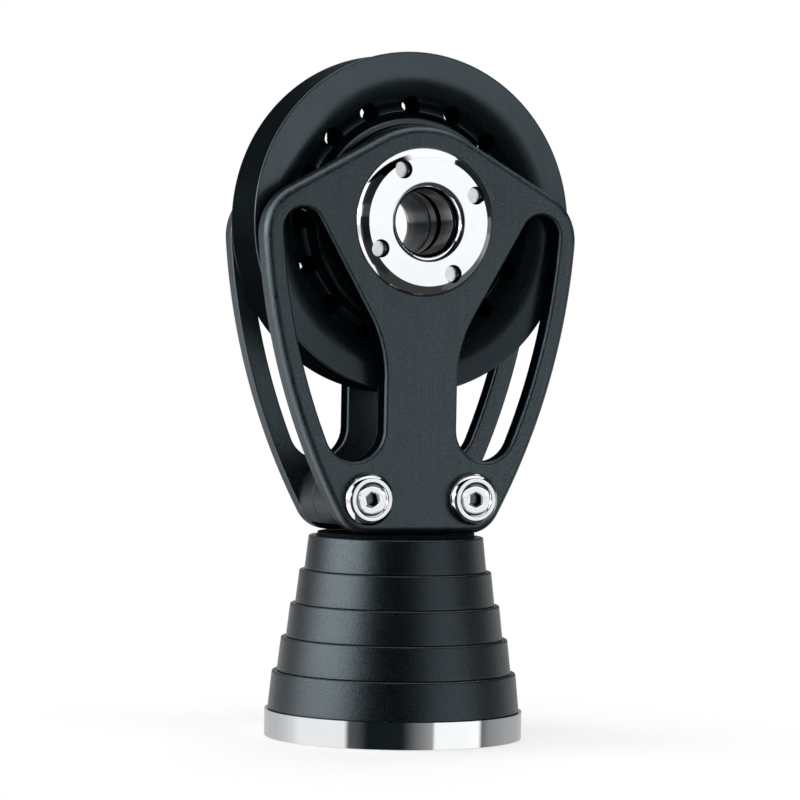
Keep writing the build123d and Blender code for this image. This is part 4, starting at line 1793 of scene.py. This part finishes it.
@dataclass
class SideScrews:
    """The countersunk screws that clamp the cheeks, in their proud cup washers."""

    cheek: float = 21.6
    shank: float = 3.0
    head_radius: float = 5.7
    head_edge: float = 0.3
    head_under: float = 3.1
    length: float = 20.0
    clearance: float = 0.1
    cup_radius: float = 9.5
    cup_waist: float = 1.8
    cup_height: float = 4.0
    cup_face: float = 7.75
    cup_crown: float = 0.25
    cup_mouth: float = 6.3
    hex_flats: float = 4.3
    hex_depth: float = 2.4
    hex_turns: Point = (44.0, 30.0)
    edge_break: float = 0.10
    wall_margin: float = 0.4
    floor_margin: float = 0.1
    mouth_margin: float = 0.15

    @property
    def face(self) -> float:
        """Return how far the screw's face lies from the block's middle."""
        return self.cheek + self.head_under + self.head_edge

    def _cup(self, side: Side, reach: float) -> bpy.types.Object:
        """Turn one cup washer.

        Args:
            side: The side of the block.
            reach: How far to the right its axis lies.

        Returns:
            The washer.
        """
        seat = self.head_radius + self.clearance
        bore = self.shank + self.clearance
        pen = Pen("cup", side_board(side, reach, SCREW_HEIGHT), (self.cheek, bore))
        top, cone = self.cheek + self.cup_height, self.face - self.head_edge
        pen.line((self.cheek, self.cup_radius), (self.cheek + self.cup_waist, self.cup_radius))
        pen.bow((top, self.cup_face), self.cup_crown)
        return pen.line(
            (top, self.cup_mouth),
            (self.face, seat),
            (cone, seat),
            (cone - self.head_radius + self.shank, bore),
            (self.cheek, bore),
        ).turn(AXLE)

    def _screw(self, side: Side, reach: float, hex_turn: float) -> bpy.types.Object:
        """Turn one screw and sink its hexagon socket.

        Args:
            side: The side of the block.
            reach: How far to the right its axis lies.
            hex_turn: How far the socket is turned, in degrees.

        Returns:
            The screw.
        """
        cone = self.head_radius - self.shank
        corners = (
            (0.0, 0.0),
            (0.0, self.head_radius),
            (self.head_edge, self.head_radius),
            (self.head_edge + cone, self.shank),
            (self.length, self.shank),
            (self.length, 0.0),
        )
        profile = [(self.face - depth, radius) for depth, radius in corners]
        screw = turned("screw", side_board(side, reach, SCREW_HEIGHT), profile, AXLE)
        floor = side.value * (self.face - self.hex_depth)
        board = Board((reach, floor, SCREW_HEIGHT), ACROSS, UPRIGHT)
        corners = ring_of(6, self.hex_flats / math.sqrt(3), hex_turn)
        depth = Vector((0.0, side.value * (self.hex_depth + OVERCUT), 0.0))
        cut(screw, plate("socket", board, corners, depth))
        return screw

    def build(self) -> None:
        """Make the two screws and cup washers of each side."""
        for side in Side:
            reaches = (-SCREW_REACH, SCREW_REACH)
            cups = join(f"{side.label}_cups", [self._cup(side, reach) for reach in reaches])
            screws = [
                self._screw(side, reach, turn)
                for reach, turn in zip(reaches, self.hex_turns, strict=True)
            ]
            fasteners = join(f"{side.label}_socket_screws", screws)
            for piece, node in ((cups, "cup_washers"), (fasteners, "screws")):
                soften(piece, self.edge_break, angle=METAL_ANGLE)
                smooth(piece)
                nodes = (f"{side.label}_{node}",)
                install(piece, "head", nodes, SCREW_FINISH)
            # Painted shade inside the hexagon sockets.
            touch_up(fasteners, SOCKET_SHADE_FINISH, self._in_socket)

    def _in_socket(self, spot: Vector) -> bool:
        """Return whether a place lies inside a hexagon socket."""
        radius = math.hypot(abs(spot.x) - SCREW_REACH, spot.z - SCREW_HEIGHT)
        floor = self.face - self.hex_depth - self.floor_margin
        deep = floor < abs(spot.y) < self.face - self.mouth_margin
        return deep and radius < self.hex_flats / 2 + self.wall_margin


@dataclass
class Foot:
    """The polished base: a disc with a plinth for the boot, two ears and the deck screws' holes."""

    radius: float = 47.5
    height: float = 9.7
    edge: float = 0.3
    plinth_radius: float = 41.5
    plinth_top: float = 13.7
    groove_depth: float = 1.2
    groove_low: float = 10.6
    groove_high: float = 12.4
    ear_inner: float = 6.6
    ear_thickness: float = 6.8
    ear_foot: float = 12.0
    eye_radius: float = 8.5
    pin_height: float = 27.0
    pin_radius: float = 4.03
    pin_reach: Point = (5.0, 15.0)
    pin_sides: int = 64
    sunk: float = 0.2
    ear_edge: float = 0.25
    bolt_count: int = 4
    bolt_start: float = 45.0
    bolt_ring: float = 33.0
    bolt_hole: float = 4.25
    bolt_head: float = 8.2

    def _disc(self) -> bpy.types.Object:
        """Turn the disc and its plinth.

        Returns:
            The disc.
        """
        wall, groove = self.plinth_radius, self.plinth_radius - self.groove_depth
        corners = (
            (0.0, 0.0),
            (self.radius, 0.0),
            (self.radius, self.height),
            (wall, self.height),
            (wall, self.groove_low),
            (groove, self.groove_low),
            (groove, self.groove_high),
            (wall, self.groove_high),
            (wall, self.plinth_top),
            (0.0, self.plinth_top),
        )
        return turned("polished_foot", UPRIGHT_BOARD, corners, UPRIGHT)

    def _ear(self, hand: int) -> bpy.types.Object:
        """Make one of the two ears that hold the lower pin.

        Args:
            hand: 1 for the ear on the right and -1 for the left.

        Returns:
            The ear.
        """
        board = Board((hand * self.ear_inner, 0.0, 0.0), AXLE, UPRIGHT)
        centre, foot = (0.0, self.pin_height), self.plinth_top - self.sunk
        pen = Pen("ear", board, (-self.ear_foot, foot))
        pen.line((self.ear_foot, foot), (self.eye_radius, self.pin_height))
        pen.arc(centre, (0.0, self.pin_height + self.eye_radius))
        pen.arc(centre, (-self.eye_radius, self.pin_height))
        pen.line((-self.ear_foot, foot))
        ear = pen.thicken(Vector((hand * self.ear_thickness, 0.0, 0.0)))
        ends = ((hand * reach, *centre) for reach in self.pin_reach)
        cut(ear, bar("pin_hole", *ends, self.pin_radius, self.pin_sides))
        return ear

    def _bolt_holes(self) -> bpy.types.Object:
        """Make the cutter for the countersunk deck holes.

        Returns:
            The cutter.
        """
        sink = self.bolt_head - self.bolt_hole
        above = self.plinth_top + OVERCUT
        profile = (
            (0.0, -OVERCUT),
            (self.bolt_hole, -OVERCUT),
            (self.bolt_hole, self.plinth_top - sink),
            (self.bolt_head + OVERCUT, above),
            (0.0, above),
        )
        holes = [
            turned("bolt_hole", Board((*spot, 0.0), ACROSS, UPRIGHT), profile, UPRIGHT)
            for spot in ring_of(self.bolt_count, self.bolt_ring, self.bolt_start)
        ]
        return join("bolt_holes", holes)

    def build(self) -> None:
        """Make the base."""
        disc = self._disc()
        cut(disc, self._bolt_holes())
        soften(disc, self.edge, segments=3)
        ears = join("ears", [self._ear(hand) for hand in (-1, 1)])
        soften(ears, self.ear_edge)
        foot = join("polished_foot", [disc, ears])
        smooth(foot)
        install(foot, "base", ("base_plate",), BASE_FINISH)


@dataclass
class Boot:
    """The stepped rubber boot, in two pieces that meet at a ledge where the toggle turns."""

    top: float = 72.7
    rim: float = 73.8
    rim_radius: float = 29.6
    foot: float = 9.8
    ledges: tuple[float, ...] = (61.1, 48.65, 36.2, 23.75)
    split: int = 3
    top_radius: float = 32.3
    tier_step: float = 3.2
    flare: float = 1.3
    edge: float = 0.7
    crease: float = 0.35
    wall: float = 2.4
    ceiling: float = 70.5
    neck: float = 22.7
    plinth_top: float = 13.7
    plinth_radius: float = 41.7
    bead_radius: float = 40.5
    bead: Point = (10.8, 12.2)
    side_steps: int = 6
    sharp_angle: float = 50.0

    def _tier(self, pen: Pen, index: int) -> None:
        """Draw one tier's outside, from its rounded ledge down to the crease under it.

        Args:
            pen: The pen.
            index: The tier, counted from the top.
        """
        radius = self.top_radius + index * self.tier_step
        heights = (self.rim, *self.ledges, self.foot)
        high, low = heights[index], heights[index + 1]
        pen.line((radius - self.edge, high))
        pen.arc((radius - self.edge, high - self.edge), (radius, high - self.edge))
        end = (radius + self.flare, low + self.crease)
        for step in range(1, self.side_steps + 1):
            share = step / self.side_steps
            side = radius + self.flare * share
            pen.line((side, (high - self.edge) * (1 - share) + end[1] * share))
        pen.arc((end[0] - self.crease, end[1]), (end[0] - self.crease, low))

    def _inside(self, index: int) -> float:
        """Return a tier's inner radius."""
        return self.top_radius + index * self.tier_step - self.wall

    def _wall(self, pen: Pen, tiers: range, floor: float) -> None:
        """Draw the inside of some tiers, from the lowest one up.

        Args:
            pen: The pen.
            tiers: The tiers, counted from the top.
            floor: Where the lowest one ends.
        """
        for index in reversed(tiers):
            roof = self.ceiling if index == 0 else self.ledges[index - 1] - self.wall
            low = floor if index == tiers[-1] else self.ledges[index] - self.wall
            inner = self._inside(index)
            pen.line((inner, low), (inner, (roof + low) / 2), (inner, roof))

    def _upper(self) -> bpy.types.Object:
        """Turn the tiers that lean with the post.

        Returns:
            The upper piece.
        """
        pen = Pen("boot_upper", UPRIGHT_BOARD, (self.neck, self.top))
        pen.line((self.rim_radius, self.top), (self.rim_radius, self.rim))
        tiers, ledge = range(self.split), self.ledges[self.split - 1]
        for index in tiers:
            self._tier(pen, index)
        pen.line((self._inside(tiers[-1]), ledge))
        self._wall(pen, tiers, ledge)
        return pen.line((self.neck, self.ceiling), (self.neck, self.top)).turn(UPRIGHT)

    def _lower(self) -> bpy.types.Object:
        """Turn the tiers that stand on the base.

        Returns:
            The lower piece.
        """
        tiers, ledge = range(self.split, len(self.ledges) + 1), self.ledges[self.split - 1]
        inner, plinth = self._inside(self.split - 1), self.plinth_radius
        pen = Pen("boot_lower", UPRIGHT_BOARD, (inner, ledge))
        for index in tiers:
            self._tier(pen, index)
        low, high = self.bead
        pen.line((plinth, self.foot), (plinth, low), (self.bead_radius, low))
        pen.line((self.bead_radius, high), (plinth, high), (plinth, self.plinth_top))
        self._wall(pen, tiers, self.plinth_top)
        return pen.line((inner, ledge - self.wall), (inner, ledge)).turn(UPRIGHT)

    def build(self) -> None:
        """Make both pieces of the boot."""
        knee = self.ledges[self.split - 1]
        for piece, bodies, heights in (
            (self._lower(), ("base", "toggle"), (self.foot, knee)),
            (self._upper(), ("toggle", "post"), (knee, self.ceiling)),
        ):
            smooth(piece, self.sharp_angle)
            install_bending(piece, bodies, "boot", RUBBER_FINISH)


@dataclass
class StandingSpring:
    """The coil spring round the toggle, in two pieces split at the boot's knee height."""

    wire: float = 2.1
    radius: float = 21.9
    pitch: float = 8.6
    low: float = 15.25
    high: float = 66.35
    knee: float = 36.2
    wire_sides: int = 20
    turn_steps: int = 64
    end_cut: float = 0.9
    sharp_angle: float = 40.0

    def _coil(self, name: str) -> bpy.types.Object:
        """Wind the whole spring and grind its two ends flat.

        Args:
            name: The piece's name.

        Returns:
            The spring.
        """
        deselect()
        start = self.low + self.end_cut
        bpy.ops.mesh.primitive_circle_add(
            vertices=self.wire_sides,
            radius=self.wire * MM,
            fill_type="NGON",
            location=Vector((self.radius, 0.0, start)) * MM,
            rotation=(math.pi / 2, 0.0, 0.0),
        )
        bpy.ops.object.transform_apply(location=True, rotation=True, scale=True)
        coil = bpy.context.object
        coil.name = coil.data.name = name
        rise = self.high - self.low - 2 * self.end_cut
        turns = rise / self.pitch
        settings = {
            "angle": math.tau * turns,
            "screw_offset": rise * MM,
            "steps": round(turns * self.turn_steps),
            "render_steps": round(turns * self.turn_steps),
            "use_merge_vertices": True,
        }
        apply_modifier(coil, "SCREW", settings)
        self.trim(coil, self.low, clear_inner=True)
        self.trim(coil, self.high, clear_outer=True)
        return coil

    @staticmethod
    def trim(coil: bpy.types.Object, height: float, **sides: bool) -> None:
        """Cut a coil level, clear one side and close the cut.

        Args:
            coil: The coil.
            height: Where it is cut.
            sides: The bisect operator's option for the side that is cleared.
        """
        with editing(coil):
            bpy.ops.mesh.bisect(
                plane_co=(0.0, 0.0, height * MM),
                plane_no=UPRIGHT,
                threshold=CUT_TOLERANCE,
                use_fill=True,
                **sides,
            )
            bpy.ops.mesh.select_all(action="SELECT")
            bpy.ops.mesh.normals_make_consistent(inside=False)

    def build(self) -> None:
        """Make both pieces of the spring."""
        for name, bodies, heights, sides in (
            ("spring_lower", ("base", "toggle"), (self.low, self.knee), {"clear_outer": True}),
            ("spring_upper", ("toggle", "post"), (self.knee, self.high), {"clear_inner": True}),
        ):
            piece = self._coil(name)
            self.trim(piece, self.knee, **sides)
            smooth(piece, self.sharp_angle)
            install_bending(piece, bodies, "spring", SPRING_FINISH)


# ---------------------------------------------------------------------------------------------
# Studio
# ---------------------------------------------------------------------------------------------


@dataclass(frozen=True)
class SoftBox:
    """A soft lamp.

    Attributes:
        name: Its name.
        azimuth: Its direction from the block, with 0 at the camera and 90 at its right.
        elevation: Its height above the horizon, in degrees.
        size: Its width and height, in metres.
        level: How bright its face is, with 1 for white.
    """

    name: str
    azimuth: float
    elevation: float
    size: Point
    level: float


@dataclass
class Studio:
    """The camera at the photograph's angle, a pale floor and plain soft light.

    The levels are how bright the round wall is, band by band from the ground up, each a
    direction in degrees from the camera and a brightness with 1 for white.
    """

    camera_place: Spot = (-504.58, -1160.69, 143.59)
    target: Spot = (0.70, 0.0, 123.91)
    roll: float = 1.0
    lens: float = 154.26
    sensor: float = 36.0
    clip: Point = (0.01, 50.0)
    camera_azimuth: float = -23.52
    floor_radius: float = 2.4
    floor_drop: float = 0.0002
    floor_grey: float = 0.50
    floor_glow: float = 0.52
    floor_fade: Point = (0.06, 0.20)
    wall_radius: float = 3.0
    wall_sides: int = 180
    cover_sides: int = 96
    ground_levels: tuple[Point, ...] = (
        (-180, 0.10), (-125, 0.20), (-112, 2.0), (-44, 2.0), (-39, 0.06), (0, 0.03), (60, 0.08),
        (110, 0.20), (180, 0.10),
    )
    low_levels: tuple[Point, ...] = (
        (-180, 0.60), (-125, 0.70), (-111, 0.83), (-99, 1.00), (-90, 1.24), (-43, 1.25),
        (-39, 0.13), (-31, 0.09), (-22, 0.01), (8, 0.012), (12, 0.05), (33, 0.42), (35.5, 0.50),
        (38, 1.42), (82, 1.50), (86, 0.20), (95, 0.36), (120, 0.50), (180, 0.60),
    )
    eye_levels: tuple[Point, ...] = (
        (-180, 0.40), (-145, 0.14), (-120, 0.14), (-104, 1.2), (-96, 3.3), (-44, 3.3), (-39, 0.06),
        (-24, 0.02), (8, 0.01), (24, 0.06), (33, 1.60), (70, 1.75), (80, 0.22), (118, 0.25),
        (128, 0.70), (144, 0.70), (152, 0.18), (180, 0.30),
    )
    boot_levels: tuple[Point, ...] = (
        (-180, 0.40), (-145, 0.20), (-112, 0.30), (-94, 3.6), (-84, 8.6), (-44, 8.6), (-36, 0.70),
        (-22, 0.10), (4, 0.03), (38, 0.01), (48, 0.25), (56, 0.27), (66, 0.01), (106, 0.01),
        (128, 0.08), (180, 0.16),
    )
    high_levels: tuple[Point, ...] = (
        (-180, 0.30), (-125, 0.40), (-108, 2.2), (-44, 2.2), (-39, 0.05), (0, 0.01), (35, 0.02),
        (60, 0.02), (110, 0.02), (135, 0.08), (180, 0.16),
    )
    level_peak: float = 8.6
    shade: Colour = (0.0, 0.0055, 0.0090)
    ground_top: Point = (-1.00, -0.50)
    low_top: Point = (-0.05, 0.12)
    eye_top: Point = (0.42, 0.52)
    eye_fade: Point = (-0.10, 0.30)
    eye_low_share: float = 0.62
    boot_top: Point = (0.95, 1.20)
    ceiling_front: Point = (1.1, 1.5)
    ceiling_level: float = 1.7
    cloth_left: Point = (-1.7, -1.3)
    cloth_levels: Point = (1.6, 0.07)
    lamp_height: float = 0.12
    lamp_distance: float = 1.6
    lamps: tuple[SoftBox, ...] = (
        SoftBox("left_box", -85.0, 18.0, (1.6, 1.2), 2.6),
        SoftBox("front_box", -10.0, 30.0, (1.6, 1.0), 1.6),
        SoftBox("right_box", 65.0, 14.0, (1.2, 1.2), 2.2),
        SoftBox("back_box", 170.0, 25.0, (1.6, 1.2), 2.2),
        SoftBox("top_box", 0.0, 84.0, (1.8, 1.8), 1.6),
    )

    def _camera(self) -> None:
        """Place the camera."""
        place, target = Vector(self.camera_place) * MM, Vector(self.target) * MM
        ahead = (target - place).normalized()
        right = ahead.cross(Vector(UPRIGHT)).normalized()
        up = right.cross(ahead)
        turn = math.radians(self.roll)
        rolled_right = right * math.cos(turn) + up * math.sin(turn)
        rolled_up = up * math.cos(turn) - right * math.sin(turn)
        data = bpy.data.cameras.new("camera")
        data.sensor_width, data.lens = self.sensor, self.lens
        data.clip_start, data.clip_end = self.clip
        camera = bpy.data.objects.new("camera", data)
        bpy.context.scene.collection.objects.link(camera)
        rotation = Matrix((rolled_right, rolled_up, -ahead)).transposed()
        camera.matrix_world = Matrix.Translation(place) @ rotation.to_4x4()
        bpy.context.scene.camera = camera

    def _disc(self, name: str, sides: int, radius: float, height: float) -> bpy.types.Object:
        """Lay a round sheet.

        Args:
            name: Its name.
            sides: How many sides it has.
            radius: Its radius, in metres.
            height: How high it lies, in metres.

        Returns:
            The sheet.
        """
        deselect()
        bpy.ops.mesh.primitive_circle_add(
            vertices=sides, radius=radius, fill_type="NGON", location=(0.0, 0.0, height)
        )
        disc = bpy.context.object
        disc.name = name
        return disc

    def _floor(self) -> None:
        """Lay the pale floor, which fades to plain white away from the block."""
        floor = self._disc("floor", self.cover_sides, self.floor_radius, -self.floor_drop)
        floor.visible_glossy = False
        material, graph = new_material("floor")
        grey = (self.floor_grey,) * 3
        diffuse = graph.node("ShaderNodeBsdfDiffuse", None, {"Color": (*grey, 1.0)})
        seen = graph.node("ShaderNodeLightPath", output="Is Camera Ray")
        glow = graph.node("ShaderNodeEmission", None, {"Strength": seen * self.floor_glow})
        near = graph.node("ShaderNodeAddShader", None, {0: diffuse, 1: glow})
        white = graph.node("ShaderNodeEmission", None, {"Strength": 1.0})
        away = graph.length(graph.place()).step(*self.floor_fade) * seen
        graph.show(graph.node("ShaderNodeMixShader", None, {0: away, 1: near, 2: white}))
        floor.data.materials.append(material)

    @staticmethod
    def _put_up(screen: bpy.types.Object, light: Callable[[Graph], Sockets]) -> None:
        """Light a screen that only gloss sees, and mark it as a part of the studio.

        Args:
            screen: The screen.
            light: Makes the sockets of its Emission shader.
        """
        take_up(screen)
        bpy.ops.object.transform_apply(location=True)
        screen.visible_camera = screen.visible_diffuse = screen.visible_shadow = False
        screen.visible_volume_scatter = False
        material, graph = new_material(screen.name)
        graph.show(graph.node("ShaderNodeEmission", None, light(graph)))
        screen.data.materials.append(material)

    def _ramp(self, graph: Graph, share: Wire, levels: Iterable[Point]) -> Wire:
        """Lay out a band of the wall's levels.

        Args:
            graph: The wall's graph.
            share: The share of the turn that a point lies at.
            levels: The band's directions and levels.

        Returns:
            The level at the point, over the highest one.
        """
        stops = [((angle + 180.0) / 360.0, level / self.level_peak) for angle, level in levels]
        return graph.node("ShaderNodeValToRGB", {"stops": stops}, {0: share})

    def _wall_light(self, graph: Graph) -> Sockets:
        """Work out the wall's light.

        Args:
            graph: The wall's graph.

        Returns:
            The sockets of its Emission shader.
        """
        x, y, z = graph.split(graph.place())
        azimuth = x.maths("ARCTAN2", y * -1.0) * (180.0 / math.pi) - self.camera_azimuth
        turned_share = (azimuth + 180.0).maths("FLOORED_MODULO", 360.0) / 360.0
        level = self._ramp(graph, turned_share, self.ground_levels)
        for levels, edge in (
            (self.low_levels, self.ground_top),
            (self.eye_levels, self.low_top),
            (self.boot_levels, self.eye_top),
            (self.high_levels, self.boot_top),
        ):
            band = self._ramp(graph, turned_share, levels)
            if levels is self.eye_levels:
                low = graph.vector("MULTIPLY", band, (self.eye_low_share,) * 3)
                band = graph.mix(z.step(*self.eye_fade), low, band)
            level = graph.mix(z.step(*edge), level, band)
        shade = tuple(part / self.level_peak for part in self.shade)
        return {"Color": graph.vector("ADD", level, shade), "Strength": self.level_peak}

    def _wall(self) -> None:
        """Stand a round wall of soft boxes and dark cloths outside the view."""
        deselect()
        bpy.ops.mesh.primitive_cylinder_add(
            vertices=self.wall_sides,
            radius=self.wall_radius,
            depth=2 * self.wall_radius,
            end_fill_type="NOTHING",
        )
        wall = bpy.context.object
        wall.name = "studio_wall"
        self._put_up(wall, self._wall_light)

    def _ways(self, graph: Graph) -> tuple[Wire, Wire]:
        """Find how far a point lies from the middle as the camera sees it.

        Args:
            graph: The graph.

        Returns:
            How far towards the camera and how far to the right.
        """
        turn = math.radians(self.camera_azimuth)
        x, y, _ = graph.split(graph.place())
        front = x * math.sin(turn) - y * math.cos(turn)
        return front, x * math.cos(turn) + y * math.sin(turn)

    def _top_light(self, graph: Graph) -> Sockets:
        """Light the cover above, which ends in front of the block."""
        front, _ = self._ways(graph)
        return {"Strength": (1.0 - front.step(*self.ceiling_front)) * self.ceiling_level}

    def _cloth_light(self, graph: Graph) -> Sockets:
        """Light the cloth below, dark to the right."""
        lit, dark = self.cloth_levels
        _, right = self._ways(graph)
        return {"Strength": (1.0 - right.step(*self.cloth_left)) * (lit - dark) + dark}

    def _covers(self) -> None:
        """Close the wall with the top light and the dark cloth."""
        for name, height, light in (
            ("studio_top", self.wall_radius, self._top_light),
            ("studio_cloth", -self.wall_radius, self._cloth_light),
        ):
            self._put_up(self._disc(name, self.cover_sides, self.wall_radius, height), light)

    def _world(self) -> None:
        """Make the world white to look at; the lamps alone give the light."""
        world = bpy.data.worlds.new("studio")
        bpy.context.scene.world = world
        world.use_nodes = True
        graph = Graph(world.node_tree)
        path = graph.node("ShaderNodeLightPath").socket.node
        names = ("Is Camera Ray", "Is Glossy Ray", "Is Transmission Ray")
        camera, glossy, transmission = (Wire(graph, path.outputs[name]) for name in names)
        seen = camera.maths("MAXIMUM", glossy).maths("MAXIMUM", transmission)
        background = graph.node("ShaderNodeBackground", None, {"Strength": seen})
        background.socket.node.inputs["Color"].default_value = (1.0, 1.0, 1.0, 1.0)
        graph.node("ShaderNodeOutputWorld", None, {"Surface": background})

    def _hang(self, lamp: SoftBox) -> None:
        """Hang a soft box.

        Args:
            lamp: The soft box.
        """
        width, height = lamp.size
        data = bpy.data.lights.new(lamp.name, "AREA")
        data.shape, data.size, data.size_y = "RECTANGLE", width, height
        data.energy = lamp.level * math.pi * width * height
        light = bpy.data.objects.new(lamp.name, data)
        bpy.context.scene.collection.objects.link(light)
        across = math.radians(lamp.azimuth + self.camera_azimuth)
        rise = math.radians(lamp.elevation)
        level = Vector((math.sin(across), -math.cos(across), 0.0)) * math.cos(rise)
        away = level + Vector(UPRIGHT) * math.sin(rise)
        light.location = Vector(UPRIGHT) * self.lamp_height + away * self.lamp_distance
        light.rotation_euler = away.to_track_quat("Z", "Y").to_euler()
        light.visible_glossy = False

    def build(self) -> None:
        """Set up the camera, the floor, the screens that gloss sees, the world and the lamps."""
        bpy.context.scene.view_settings.view_transform = "Standard"
        self._camera()
        self._floor()
        self._wall()
        self._covers()
        self._world()
        for lamp in self.lamps:
            self._hang(lamp)


def dress_nodes(nodes: dict[str, bpy.types.Object]) -> None:
    """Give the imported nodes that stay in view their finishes.

    Args:
        nodes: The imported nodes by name.
    """
    for finish, names in NODES_BY_FINISH.items():
        for name in names:
            for slot in nodes[name].material_slots:
                slot.material = finish.material()
            LOG.info("%s is finished with %s", name, finish.name)


def main() -> None:
    """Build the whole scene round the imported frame."""
    logging.basicConfig(level=logging.INFO, format="%(name)s: %(message)s")
    deselect()
    bpy.ops.object.select_all(action="SELECT")
    bpy.ops.object.delete()
    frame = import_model()
    deselect()
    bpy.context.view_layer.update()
    Studio().build()
    dress_nodes(frame["nodes"])
    for assembly in (Wheel, Cheeks, HubCaps, SideScrews, Foot, Boot, StandingSpring):
        assembly().build()


if __name__ == "__main__":
    main()
